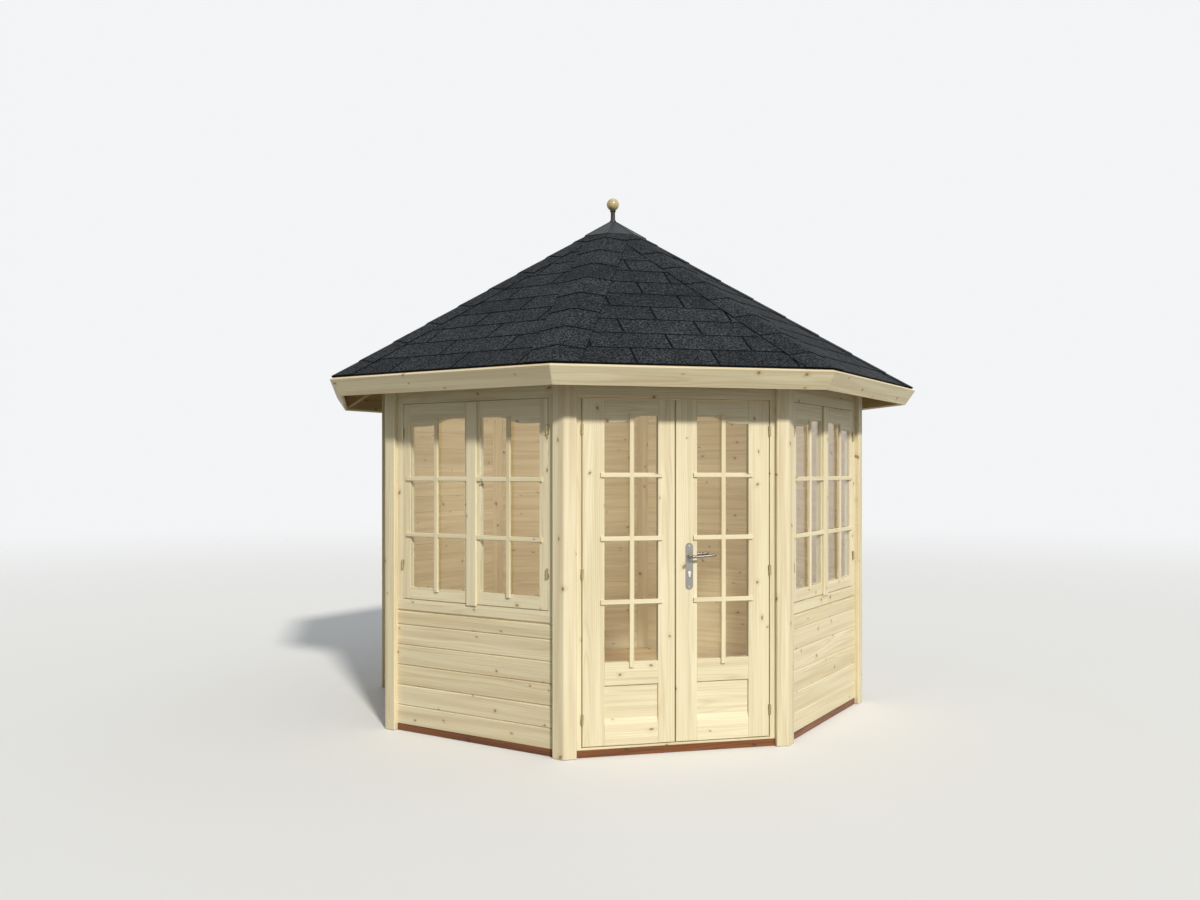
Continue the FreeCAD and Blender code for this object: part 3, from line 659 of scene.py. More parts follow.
SPRUCE = WoodFinish("planed spruce", (0.82, 0.74, 0.505), (0.56, 0.43, 0.25), knot_share=0.42, contrast=0.50)
JOINERY = WoodFinish("joinery spruce", (0.84, 0.765, 0.53), (0.60, 0.48, 0.29), knot_share=0.46, contrast=0.50)
INNER = WoodFinish("inner spruce", (0.71, 0.55, 0.31), (0.53, 0.36, 0.17), knot_share=0.40)
# Spruce darkened below the inner wood as painted shade on the roof boards' underside, under the eaves.
SOFFIT_PAINTED_SHADE = WoodFinish("soffit spruce", (0.50, 0.37, 0.17), (0.34, 0.22, 0.085), knot_share=0.40)
BEARER = WoodFinish("impregnated wood", (0.26, 0.100, 0.036), (0.11, 0.038, 0.014), (0.05, 0.02, 0.01),
                    contrast=0.8)
JOIST = WoodFinish("impregnated joists", BEARER.light, BEARER.dark, BEARER.knot, source=GrainSource.OBJECT)
BLOCK = WoodFinish("apex wood", INNER.light, INNER.dark, source=GrainSource.OBJECT)
TURNED = WoodFinish("turned wood", (0.60, 0.49, 0.26), (0.38, 0.28, 0.12), knot_share=0.0, contrast=0.8,
                    gloss=0.8)
SHINGLE = ShingleFinish("charcoal shingles", (0.0030, 0.0038, 0.0046), (0.070, 0.080, 0.090))
CAP = MetalFinish("cap sheet", (0.027, 0.032, 0.035), 0.50, metallic=0.0, amount=0.3, specular=0.2)
HINGE = MetalFinish("hinge metal", (0.46, 0.38, 0.21), 0.42, metallic=0.85)
STEEL = MetalFinish("satin steel", (0.30, 0.29, 0.265), 0.42)
# Darker than the plates' steel, as a painted reflection of dark surroundings on the lever.
LEVER_DARKENED_REFLECTION = MetalFinish("lever steel", (0.24, 0.225, 0.20), 0.24)
# Near-white and mostly diffuse, so that the lamp lights it up as a painted highlight of polished nickel.
NICKEL_PAINTED_HIGHLIGHT = MetalFinish("polished nickel", (0.95, 0.93, 0.89), 0.16, metallic=0.3, amount=0.05)
# Near-black, as painted shade inside the key slots.
KEY_SLOT_PAINTED_SHADE = MetalFinish("dark slot", (0.012, 0.012, 0.012), 0.6, metallic=0.0)
# The turned neck, near-black as painted shade beneath the ball.
NECK_PAINTED_SHADE = MetalFinish("dark neck", (0.030, 0.028, 0.026), 0.42, metallic=0.2)
GLASS = GlassFinish("float glass", (0.95, 0.97, 0.96))


# Mesh building


def note(mesh: bpy.types.Mesh, name: str, values: Sequence[float], kind: str = "FLOAT",
         domain: str = "POINT") -> None:
    """Write an attribute on a mesh.

    Args:
        mesh: the mesh.
        name: the attribute's name.
        values: its values in a row.
        kind: its data type.
        domain: its domain.
    """
    layer = mesh.attributes.new(name, kind, domain)
    layer.data.foreach_set("vector" if kind == "FLOAT_VECTOR" else "value", values)


def place_object(name: str, data: bpy.types.ID) -> bpy.types.Object:
    """Args:
        name: the object's name.
        data: its mesh, lamp or camera.
    Returns: the object, linked to the scene.
    """
    made = bpy.data.objects.new(name, data)
    bpy.context.scene.collection.objects.link(made)
    return made


class PieceMesh:
    """Collects boards or fittings in one mesh, each with its own grain place and tone."""

    def __init__(self, name: str, seed: int, tone_spread: float = 0.05) -> None:
        """Args:
            name: the finished object's name.
            seed: start of the random grain places and tones.
            tone_spread: largest change of brightness of one board.
        """
        self.name = name
        self.chance = random.Random(seed)
        self.tone_spread = tone_spread
        self.points: list[Vector] = []
        self.faces: list[list[int]] = []
        self.grain: list[float] = []
        self.tone: list[float] = []

    def loft(self, ring_a: Ring, ring_b: Ring, grain: Grain | tuple[Vector, Vector],
             turn: Matrix | None = None, bevel: float = SOFT_EDGE) -> None:
        """Add a solid between two rings of as many corners.

        Args:
            ring_a: corners of one end.
            ring_b: corners of the other end.
            grain: fibre direction and the direction across it.
            turn: matrix to the solid's side, if not the front.
            bevel: softened edges, in metres.
        """
        mesh = bmesh.new()
        ends = [[mesh.verts.new(corner) for corner in ring] for ring in (ring_a, ring_b)]
        for end in ends:
            mesh.faces.new(end)
        count = len(ring_a)
        for here in range(count):
            after = (here + 1) % count
            mesh.faces.new((ends[0][here], ends[0][after], ends[1][after], ends[1][here]))
        bmesh.ops.recalc_face_normals(mesh, faces=mesh.faces)
        if bevel:
            edges = [edge for edge in mesh.edges if edge.calc_face_angle(0) > SHARP_EDGE]
            bmesh.ops.bevel(mesh, geom=edges, offset=bevel, offset_type="OFFSET", segments=1,
                            profile=0.5, affect="EDGES", clamp_overlap=True)
        self.take(mesh, grain, turn)

    def take(self, mesh: bmesh.types.BMesh, grain: Grain | tuple[Vector, Vector], turn: Matrix | None) -> None:
        """Copy a finished bmesh in and free it.

        Args:
            mesh: the solid.
            grain: fibre direction and the direction across it.
            turn: matrix to the solid's side, if not the front.
        """
        along, across = grain.value if isinstance(grain, Grain) else grain
        depth = along.cross(across)
        middle = sum((vert.co for vert in mesh.verts), Vector()) / len(mesh.verts)
        shift = Vector((self.chance.uniform(0, 40), self.chance.uniform(-0.10, 0.10),
                        self.chance.uniform(0.03, 0.11)))
        tone = self.chance.uniform(-self.tone_spread, self.tone_spread)
        start = len(self.points)
        for index, vert in enumerate(mesh.verts):
            vert.index = index
            arm = vert.co - middle
            self.grain += [arm.dot(along) + shift.x, arm.dot(across) + shift.y, arm.dot(depth) + shift.z]
            self.tone.append(tone)
            self.points.append(turn @ vert.co if turn else vert.co.copy())
        self.faces += [[start + vert.index for vert in face.verts] for face in mesh.faces]
        mesh.free()

    def front(self, outline: Sequence[Point], inner: float, outer: float, grain: Grain,
              side: Side = Side.FRONT, bevel: float = SOFT_EDGE) -> None:
        """Add a piece drawn in front view.

        Args:
            outline: (u, z) corners.
            inner: reach of its back.
            outer: reach of its front.
            grain: fibre direction.
            side: the wall it belongs to.
            bevel: softened edges.
        """
        rings = [[Vector((u, -reach, z)) for u, z in outline] for reach in (inner, outer)]
        self.loft(*rings, grain, side.matrix(), bevel)

    def box(self, across: Point, height: Point, reach: Point, grain: Grain,
            side: Side = Side.FRONT, bevel: float = SOFT_EDGE) -> None:
        """Add a square-edged piece of a wall.

        Args:
            across: its left and right u.
            height: its bottom and top.
            reach: its back and front.
            grain: fibre direction.
            side: the wall it belongs to.
            bevel: softened edges.
        """
        (left, right), (bottom, top) = sorted(across), sorted(height)
        outline = [(left, bottom), (right, bottom), (right, top), (left, top)]
        self.front(outline, min(reach), max(reach), grain, side, bevel)

    def footed(self, across: Point, height: Point, reach: Point, grain: Grain,
               side: Side = Side.FRONT, foot: float = 0.004) -> None:
        """Add a piece of a wall whose lower front edge is cut back, so that rain drips off.

        Args:
            across: its left and right u.
            height: its bottom and top.
            reach: its back and front.
            grain: fibre direction.
            side: the wall it belongs to.
            foot: width and height of the cut.
        """
        (back, front), (bottom, top) = sorted(reach), sorted(height)
        section = [(back, bottom), (front - foot, bottom), (front, bottom + foot), (front, top), (back, top)]
        rings = [[Vector((u, -distance, z)) for distance, z in section] for u in sorted(across)]
        self.loft(*rings, grain, side.matrix())

    def plan(self, outline: Sequence[Point], bottom: float, top: float, grain: Grain,
             turn: Matrix | None = None, bevel: float = SOFT_EDGE) -> None:
        """Add a piece drawn in plan.

        Args:
            outline: (x, y) corners.
            bottom: its lower height.
            top: its upper height.
            grain: fibre direction.
            turn: matrix to its side.
            bevel: softened edges.
        """
        rings = [[Vector((x, y, z)) for x, y in outline] for z in (bottom, top)]
        self.loft(*rings, grain, turn, bevel)

    def mitred(self, section: Sequence[Point], side: Side = Side.FRONT, trim: float = 0.0,
               bevel: float = SOFT_EDGE) -> None:
        """Add a slope's piece whose ends are cut in the upright planes of the hips.

        Args:
            section: (reach, height) corners.
            side: the slope.
            trim: distance kept from each hip plane.
            bevel: softened edges.
        """
        rings = [[Vector((way * (reach * HALF_TAN - trim), -reach, height)) for reach, height in section]
                 for way in (-1, 1)]
        (reach_a, height_a), (reach_b, height_b) = section[0], section[1]
        across = Vector((0, reach_a - reach_b, height_b - height_a)).normalized()
        self.loft(*rings, (Vector((1, 0, 0)), across), side.matrix(), bevel)

    def build(self, finish: object, extra: Callable[[bpy.types.Mesh], None] | None = None) -> bpy.types.Object:
        """Make the object.

        Args:
            finish: a finish with a material method.
            extra: called with the mesh to add more attributes.
        Returns: the object, linked to the scene, at the origin.
        """
        mesh = bpy.data.meshes.new(self.name)
        mesh.from_pydata(self.points, [], self.faces)
        note(mesh, "grain_at", self.grain, "FLOAT_VECTOR")
        note(mesh, "tone", self.tone)
        if extra:
            extra(mesh)
        mesh.shade_smooth()
        mesh.set_sharp_from_angle(angle=SHARP_EDGE)
        mesh.materials.append(finish.material())
        return place_object(self.name, mesh)


def lathe(target: PieceMesh, profile: Sequence[Point], axis: Matrix, segments: int = 32) -> None:
    """Add a turned solid.

    Args:
        target: the mesh to add it to.
        profile: (radius, height) from the bottom to the top of the local Z axis.
        axis: place of the axis.
        segments: facets round the axis.
    """
    mesh = bmesh.new()
    rings = []
    for radius, height in profile:
        if radius < 1e-6:
            rings.append([mesh.verts.new(axis @ Vector((0, 0, height)))])
            continue
        rings.append([mesh.verts.new(axis @ Vector((radius * math.cos(angle), radius * math.sin(angle), height)))
                      for angle in (2 * math.pi * number / segments for number in range(segments))])
    for low, high in zip(rings, rings[1:]):
        for here in range(segments):
            after = (here + 1) % segments
            corners = [low[here % len(low)], low[after % len(low)], high[after % len(high)], high[here % len(high)]]
            unique = list(dict.fromkeys(corners))
            if len(unique) > 2:
                mesh.faces.new(unique)
    for ring in (rings[0], rings[-1]):
        if len(ring) > 2:
            mesh.faces.new(ring)
    bmesh.ops.recalc_face_normals(mesh, faces=mesh.faces)
    up = (axis.to_3x3() @ Vector((0, 0, 1))).normalized()
    sideways = up.orthogonal().normalized()
    target.take(mesh, (up, sideways), None)


def sweep(target: PieceMesh, path: Sequence[Vector], sizes: Sequence[Point], segments: int = 20) -> None:
    """Add a rod of oval section along a path that lies in one plane through Z.

    Args:
        target: the mesh to add it to.
        path: points of its middle line.
        sizes: (half height, half thickness) at each point.
        segments: facets round the rod.
    """
    mesh = bmesh.new()
    rings = []
    for index, (point, (tall, thick)) in enumerate(zip(path, sizes)):
        before, after = path[max(index - 1, 0)], path[min(index + 1, len(path) - 1)]
        ahead = (after - before).normalized()
        flat = Vector((ahead.y, -ahead.x, 0)).normalized()
        up = flat.cross(ahead).normalized()
        if up.z < 0:
            up = -up
        rings.append([mesh.verts.new(point + up * tall * math.sin(angle) + flat * thick * math.cos(angle))
                      for angle in (2 * math.pi * number / segments for number in range(segments))])
    for low, high in zip(rings, rings[1:]):
        for here in range(segments):
            after = (here + 1) % segments
            mesh.faces.new((low[here], low[after], high[after], high[here]))
    mesh.faces.new(rings[0])
    mesh.faces.new(rings[-1])
    bmesh.ops.recalc_face_normals(mesh, faces=mesh.faces)
    target.take(mesh, (Vector((1, 0, 0)), Vector((0, 0, 1))), None)


# Repeated pieces


@cache
def copies_tree() -> bpy.types.NodeTree:
    """Geometry nodes that set copies of a pattern piece on points.

    Each point gives its copy's turn, stretch and grain shift; the tone of each copy is random.

    Returns: the tree, made on first use.
    """
    tree, b, given, result = new_group(
        "Set Out Copies", "GeometryNodeTree",
        [("Places", "NodeSocketGeometry", None), ("Pattern", "NodeSocketObject", None),
         ("Tone Spread", "NodeSocketFloat", 0.05), ("Seed", "NodeSocketInt", 1),
         ("Material", "NodeSocketMaterial", None)],
        [("Geometry", "NodeSocketGeometry")])
    source = b.node("GeometryNodeObjectInfo", {"Object": given.outputs["Pattern"]})
    points = b.store(given.outputs["Places"], "copy_tone", b.random_tone(given))
    turn, stretch, shift = (b.named(f"copy_{name}", "FLOAT_VECTOR") for name in ("turn", "stretch", "shift"))
    copies = b.node("GeometryNodeInstanceOnPoints", {"Points": points, "Instance": source.outputs["Geometry"],
                                                     "Rotation": turn, "Scale": stretch})
    plain = b.node("GeometryNodeRealizeInstances", {"Geometry": copies.outputs[0]})
    moved = b.vector("ADD", b.vector("MULTIPLY", b.named("grain_at", "FLOAT_VECTOR"), stretch), shift)
    grained = b.store(plain.outputs[0], "grain_at", moved, "FLOAT_VECTOR")
    toned = b.store(grained, "tone", b.math("ADD", b.named("tone"), b.named("copy_tone")))
    painted = b.node("GeometryNodeSetMaterial", {"Geometry": toned, "Material": given.outputs["Material"]})
    b.feed(result, "Geometry", painted.outputs[0])
    return tree


def shingle_tree() -> bpy.types.NodeTree:
    """Geometry nodes that turn flat tab outlines into lapped shingles on their slopes.

    Returns: the tree.
    """
    tree, b, given, result = new_group(
        "Lap Shingles", "GeometryNodeTree",
        [("Tabs", "NodeSocketGeometry", None), ("Thickness", "NodeSocketFloat", 0.003),
         ("Pitch", "NodeSocketFloat", 0.5), ("Eave Reach", "NodeSocketFloat", 1.8),
         ("Eave Height", "NodeSocketFloat", 2.0), ("Tone Spread", "NodeSocketFloat", 0.2),
         ("Seed", "NodeSocketInt", 1), ("Material", "NodeSocketMaterial", None)],
        [("Geometry", "NodeSocketGeometry")])
    toned = b.store(given.outputs["Tabs"], "tone", b.random_tone(given), domain="FACE")
    grown = b.node("GeometryNodeExtrudeMesh", {"Mesh": toned, "Offset": (0.0, 0.0, 1.0),
                                               "Offset Scale": given.outputs["Thickness"], "Individual": True})
    sides = b.store(grown.outputs["Mesh"], "edge", 1.0, domain="FACE", Selection=grown.outputs["Side"])
    under = b.node("GeometryNodeFlipFaces", {"Mesh": toned})
    closed = b.node("GeometryNodeJoinGeometry")
    b.tree.links.new(sides, closed.inputs[0])
    b.tree.links.new(under.outputs[0], closed.inputs[0])
    lying = b.node("ShaderNodeVectorRotate", {"Vector": b.node("GeometryNodeInputPosition").outputs[0],
                                              "Angle": given.outputs["Pitch"]}, rotation_type="X_AXIS")
    eave = b.node("ShaderNodeCombineXYZ", {0: 0.0, 1: b.math("MULTIPLY", given.outputs["Eave Reach"], -1.0),
                                           2: given.outputs["Eave Height"]})
    raised = b.vector("ADD", lying.outputs[0], eave.outputs[0])
    placed = b.node("ShaderNodeVectorRotate", {"Vector": raised, "Angle": b.named("side_turn")},
                    rotation_type="Z_AXIS")
    moved = b.node("GeometryNodeSetPosition", {"Geometry": closed.outputs[0], "Position": placed.outputs[0]})
    solid = b.node("GeometryNodeMergeByDistance", {"Geometry": moved.outputs[0], "Distance": 0.00002})
    painted = b.node("GeometryNodeSetMaterial", {"Geometry": solid.outputs[0],
                                                 "Material": given.outputs["Material"]})
    b.feed(result, "Geometry", painted.outputs[0])
    return tree


def run_tree(base: bpy.types.Object, tree: bpy.types.NodeTree, values: dict, name: str) -> bpy.types.Object:
    """Run a geometry tree on an object and keep its result as a plain mesh.

    Args:
        base: the object that carries the tree's input; it is removed.
        tree: the tree.
        values: input values by socket name.
        name: the result's name.
    Returns: the new object, at the origin, without modifiers.
    """
    modifier = base.modifiers.new("tree", "NODES")
    modifier.node_group = tree
    for item in tree.interface.items_tree:
        if item.item_type == "SOCKET" and item.in_out == "INPUT" and item.name in values:
            modifier[item.identifier] = values[item.name]
    base.update_tag()
    graph = bpy.context.evaluated_depsgraph_get()
    mesh = bpy.data.meshes.new_from_object(base.evaluated_get(graph))
    mesh.name = name
    mesh.set_sharp_from_angle(angle=SHARP_EDGE)
    bpy.data.objects.remove(base)
    return place_object(name, mesh)


@dataclass
class CopyField:
    """Points on which copies of a pattern piece are set."""

    name: str
    seed: int
    tone_spread: float = 0.05
    places: list[Vector] = field(default_factory=list)
    turns: list[float] = field(default_factory=list)
    stretches: list[float] = field(default_factory=list)

    def put(self, place: Vector, turn: float = 0.0, stretch: tuple[float, float, float] = (1, 1, 1)) -> None:
        """Add one copy.

        Args:
            place: where the pattern's origin goes.
            turn: angle about Z.
            stretch: scale on the pattern's own axes.
        """
        self.places.append(place)
        self.turns += [0.0, 0.0, turn]
        self.stretches += stretch

    def build(self, pattern: bpy.types.Object, finish: object) -> bpy.types.Object:
        """Set out the copies.

        Args:
            pattern: the piece to copy; it is removed.
            finish: a finish with a material method.
        Returns: the finished object.
        """
        chance = random.Random(self.seed)
        mesh = bpy.data.meshes.new(self.name + "_places")
        mesh.from_pydata(self.places, [], [])
        shifts: list[float] = []
        for _ in self.places:
            shifts += [chance.uniform(0, 30), chance.uniform(-0.06, 0.06), chance.uniform(-0.03, 0.03)]
        for label, data in (("copy_turn", self.turns), ("copy_stretch", self.stretches), ("copy_shift", shifts)):
            note(mesh, label, data, "FLOAT_VECTOR")
        base = place_object(self.name + "_places", mesh)
        values = {"Pattern": pattern, "Tone Spread": self.tone_spread, "Seed": self.seed,
                  "Material": finish.material()}
        made = run_tree(base, copies_tree(), values, self.name)
        bpy.data.objects.remove(pattern)
        return made


# Sub-assemblies


@dataclass
class Corners:
    """Corner posts, impregnated bearers and the head beams."""

    arris: float = 0.0035

    def posts(self) -> bpy.types.Object:
        """Returns: the eight corner posts."""
        mesh = PieceMesh("posts", 11)
        clear, outer = PLAN.clear_half, PLAN.post_front * HALF_TAN
        inner = PLAN.wall_inner * HALF_TAN
        for side in Side:
            turn = Matrix.Rotation(math.radians(45), 4, "Z")
            near = [Vector((clear, -PLAN.post_front, 0)), Vector((outer, -PLAN.post_front, 0))]
            beyond = [turn @ Vector((-clear, -reach, 0)) for reach in (PLAN.post_front, PLAN.wall_inner)]
            back = [Vector((inner, -PLAN.wall_inner, 0)), Vector((clear, -PLAN.wall_inner, 0))]
            outline = [(corner.x, corner.y) for corner in near + beyond + back]
            mesh.plan(outline, 0.0, PLAN.post_top, Grain.UPRIGHT, side.matrix(), self.arris)
        return mesh.build(SPRUCE)

    def bearers(self) -> bpy.types.Object:
        """Returns: the bearers on the ground between the posts."""
        mesh = PieceMesh("bearers", 12, 0.12)
        for side in Side:
            mesh.box((-PLAN.clear_half, PLAN.clear_half), (0, PLAN.bearer_height),
                     (PLAN.frame_inner, PLAN.wall_face), Grain.ACROSS, side, 0.002)
        return mesh.build(BEARER)

    def beams(self) -> bpy.types.Object:
        """Returns: the head beams under the roof boards."""
        mesh = PieceMesh("beams", 13)
        back = PLAN.wall_face - PLAN.beam_width
        section = [(PLAN.wall_face, PLAN.wall_top),
                   (PLAN.wall_face, PLAN.roof_height(PLAN.wall_face, -PLAN.board)),
                   (back, PLAN.roof_height(back, -PLAN.board)), (back, PLAN.wall_top)]
        for side in Side:
            rings = [[Vector((way * PLAN.clear_half, -reach, height)) for reach, height in section]
                     for way in (-1, 1)]
            mesh.loft(*rings, Grain.ACROSS, side.matrix())
        return mesh.build(SPRUCE)

    def build(self) -> None:
        """Make the pieces and tie them to the CAD nodes."""
        settle(self.posts(), "pavilion", "wood", "corner_posts")
        settle(self.bearers(), "pavilion", "impregnated_wood", "wall_bearers")
        settle(self.beams(), "pavilion", "wood", "head_beams")


@dataclass
class Floor:
    """Floor boards inside the bearers."""

    width: float = 0.112
    gap: float = 0.0015

    def build(self) -> None:
        """Make the boards, cut to the octagon, and paint the joists."""
        mesh = PieceMesh("floor_boards", 21, 0.07)
        reach = PLAN.frame_inner
        count = math.ceil(2 * reach / self.width)
        pitch = 2 * reach / count
        for number in range(count):
            low, high = -reach + number * pitch + self.gap / 2, -reach + (number + 1) * pitch - self.gap / 2
            corner = reach * HALF_TAN

            def limit(y: float) -> float:
                """Returns: half the floor's width at y."""
                return min(reach, reach + corner - abs(y))

            cuts = [y for y in (-corner, corner) if low < y < high]
            heights = [low, *cuts, high]
            outline = [(limit(y), y) for y in heights] + [(-limit(y), y) for y in reversed(heights)]
            mesh.plan(outline, PLAN.floor_top - PLAN.deck_thickness, PLAN.floor_top, Grain.ACROSS, None, 0.0008)
        settle(mesh.build(INNER), "pavilion", "wood", "floor_deck")
        paint("floor_joists", JOIST)


@dataclass
class Walls:
    """Horizontal boards with V joints, set out as copies of one board."""

    first_joint: float = 0.152
    pitch: float = 0.11775
    top_chamfer: float = 0.009
    top_depth: float = 0.009
    chamfer: float = 0.002
    reveal: float = 0.0006
    sill_groove: float = 0.007

    def pattern(self) -> bpy.types.Object:
        """Returns: one board, a metre long and one pitch high, at the middle of the front wall."""
        mesh = PieceMesh("board_pattern", 31, 0.0)
        outer, inner = PLAN.wall_face, PLAN.wall_inner
        low, high, cut = self.reveal / 2, self.pitch - self.reveal / 2, self.chamfer
        section = [(outer - cut, low), (outer, low + cut), (outer, high - self.top_chamfer),
                   (outer - self.top_depth, high), (inner + cut, high), (inner, high - cut), (inner, low + cut),
                   (inner + cut, low)]
        middle = (outer + inner) / 2
        rings = [[Vector((way * 0.5, middle - reach, height)) for reach, height in section] for way in (-1, 1)]
        mesh.loft(*rings, Grain.ACROSS, None, 0.0)
        return mesh.build(SPRUCE)

    def levels(self, bottom: float, top: float) -> list[Point]:
        """Args:
            bottom: lower edge of a wall's boards.
            top: upper edge.
        Returns: bottom and height of each board.
        """
        joints = [bottom]
        joint = self.first_joint
        while joint < top - 0.02:
            if joint > bottom + 0.02:
                joints.append(joint)
            joint += self.pitch
        joints.append(top)
        return [(low, high - low) for low, high in zip(joints, joints[1:])]

    def build(self) -> None:
        """Make the boards of every wall in one piece."""
        field_of_boards = CopyField("wall_boards", 32, 0.055)
        above = PLAN.door_head + PLAN.head_height
        spans = {side: (PLAN.bearer_height, PLAN.wall_top) for side in Side}
        below_sill = PLAN.sill_bottom - self.sill_groove
        spans[Side.LEFT_WINDOW] = spans[Side.RIGHT_WINDOW] = (PLAN.bearer_height, below_sill)
        rows = list(spans.items())
        rows.remove((Side.FRONT, spans[Side.FRONT]))
        rows += [(side, (above, PLAN.wall_top)) for side in (Side.FRONT, Side.LEFT_WINDOW, Side.RIGHT_WINDOW)]
        middle = (PLAN.wall_face + PLAN.wall_inner) / 2
        for side, (bottom, top) in rows:
            for low, height in self.levels(bottom, top):
                place = side.matrix() @ Vector((0, -middle, low))
                field_of_boards.put(place, side.turn(), (2 * PLAN.clear_half, 1, height / self.pitch))
        tongues = PieceMesh("sill_tongues", 33, 0.03)
        for side in (Side.LEFT_WINDOW, Side.RIGHT_WINDOW):
            tongues.box((-PLAN.clear_half, PLAN.clear_half), (below_sill - 0.001, PLAN.sill_bottom),
                        (PLAN.wall_inner, PLAN.wall_face - 0.012), Grain.ACROSS, side, 0.0)
        boards = join([field_of_boards.build(self.pattern(), SPRUCE), tongues.build(SPRUCE)], "wall_boards")
        settle(boards, "pavilion", "wood", "wall_left", "wall_right", "wall_back_left", "wall_back_right",
               "wall_back", "wall_below_window_left", "wall_below_window_right", "boards_above_openings")


@dataclass(frozen=True)
class ArchedFrame:
    """A glazed frame whose opening rises in a double curve to the meeting side."""

    inner: float
    outer: float
    bottom: float
    run: float
    steps: int = 9

    def curve(self) -> list[Point]:
        """Returns: (distance from the middle, height) along the glass top, meeting side first."""
        middle = (self.inner + self.outer) / 2
        half_run, half_rise = self.run / 2, PLAN.arch_rise / 2
        radius = (half_run ** 2 + half_rise ** 2) / (2 * half_rise)
        high = PLAN.arch_low + PLAN.arch_rise
        first = [(middle - half_run + half_run * step / self.steps,
                  high - radius + math.sqrt(radius ** 2 - (half_run * step / self.steps) ** 2))
                 for step in range(self.steps + 1)]
        second = [(2 * middle - across, 2 * high - PLAN.arch_rise - height)
                  for across, height in reversed(first[:-1])]
        return [(self.inner, high), *first, *second, (self.outer, PLAN.arch_low)]

    def height(self, across: float) -> float:
        """Args:
            across: distance from the middle of the door or window.
        Returns: height of the glass top there.
        """
        points = self.curve()
        for (start, low), (end, high) in zip(points, points[1:]):
            if start <= across <= end:
                share = (across - start) / (end - start) if end > start else 0
                return low + (high - low) * share
        return PLAN.arch_low


def settle(piece: bpy.types.Object, body: str, slot: str, *nodes: str) -> bpy.types.Object:
    """Tie a finished piece to the frame and report it.

    Args:
        piece: the finished object.
        body: the CAD body it moves with.
        slot: its material slot in the record; not used.
        nodes: CAD nodes that it stands for.
    Returns: the piece.
    """
    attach(piece, body)
    if nodes:
        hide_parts(*nodes)
    LOG.info("%s: %d faces on %s", piece.name, len(piece.data.polygons), body)
    return piece


def paint(node: str, finish: object) -> None:
    """Give a CAD node that stays in view its material.

    Args:
        node: the CAD node.
        finish: a finish with a material method.
    """
    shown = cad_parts[node]
    shown.data.materials.clear()
    shown.data.materials.append(finish.material())


@dataclass(frozen=True)
class GlazingBar:
    """A flat bar with softened front edges."""

    width: float = 0.026
    depth: float = 0.012
    soft: float = 0.003
    sunk: float = 0.0004
    half_lap: float = 0.0008

    def section(self, depth: float, back: float) -> list[Point]:
        """Args:
            depth: how far the bar stands out.
            back: how far its back goes in.
        Returns: (across, y) corners.
        """
        half, soft = self.width / 2, self.soft
        left = [(-half, back), (-half, soft - depth), (soft - half, -depth)]
        return left + [(-x, y) for x, y in reversed(left)]

    def upright(self) -> bpy.types.Object:
        """Returns: an upright bar a metre long, its back just in the frame's face."""
        mesh = PieceMesh("bar_pattern_upright", 41, 0.0)
        section = self.section(self.depth, self.sunk)
        mesh.loft(*[[Vector((x, y, z)) for x, y in section] for z in (0.0, 1.0)], Grain.UPRIGHT, None, 0.0)
        return mesh.build(JOINERY)

    def level(self) -> bpy.types.Object:
        """Returns: a level bar a metre long, slightly thinner than the upright one."""
        mesh = PieceMesh("bar_pattern_level", 42, 0.0)
        section = self.section(self.depth - self.half_lap, 0.0)
        mesh.loft(*[[Vector((x, y, z)) for z, y in section] for x in (-0.5, 0.5)], Grain.ACROSS, None, 0.0)
        return mesh.build(JOINERY)


def join(objects: Iterable[bpy.types.Object], name: str) -> bpy.types.Object:
    """Join plain meshes in one object.

    Args:
        objects: the objects; all but the first are removed.
        name: the result's name.
    Returns: the joined object.
    """
    objects = list(objects)
    bpy.ops.object.select_all(action="DESELECT")
    for item in objects:
        item.select_set(True)
    bpy.context.view_layer.objects.active = objects[0]
    bpy.ops.object.join()
    objects[0].name = objects[0].data.name = name
    return objects[0]


def glazing_bars(name: str, leaves: Sequence[tuple[ArchedFrame, Hand, Side]], rows: Sequence[float],
                 lap: float, foot: float) -> bpy.types.Object:
    """Make the bars of several leaves or sashes.

    Args:
        name: the piece's name.
        leaves: opening, hand and side of each.
        rows: heights of the level bars.
        lap: how far level bars run over the frame.
        foot: how far upright bars run over the frame.
    Returns: the bars as one object.
    """
    uprights, levels = CopyField(name + "_upright", 43, 0.04), CopyField(name + "_level", 44, 0.04)
    for shape, hand, side in leaves:
        middle = (shape.inner + shape.outer) / 2
        bottom, top = shape.bottom - foot, shape.height(middle) + foot

        def place(height: float) -> Vector:
            """Returns: the bars' middle line at this height."""
            return side.matrix() @ Vector((hand.value * middle, -PLAN.wall_face, height))

        uprights.put(place(bottom), side.turn(), (1, 1, top - bottom))
        for height in rows:
            levels.put(place(height), side.turn(), (shape.outer - shape.inner + 2 * lap, 1, 1))
    bar = GlazingBar()
    return join([uprights.build(bar.upright(), JOINERY), levels.build(bar.level(), JOINERY)], name)


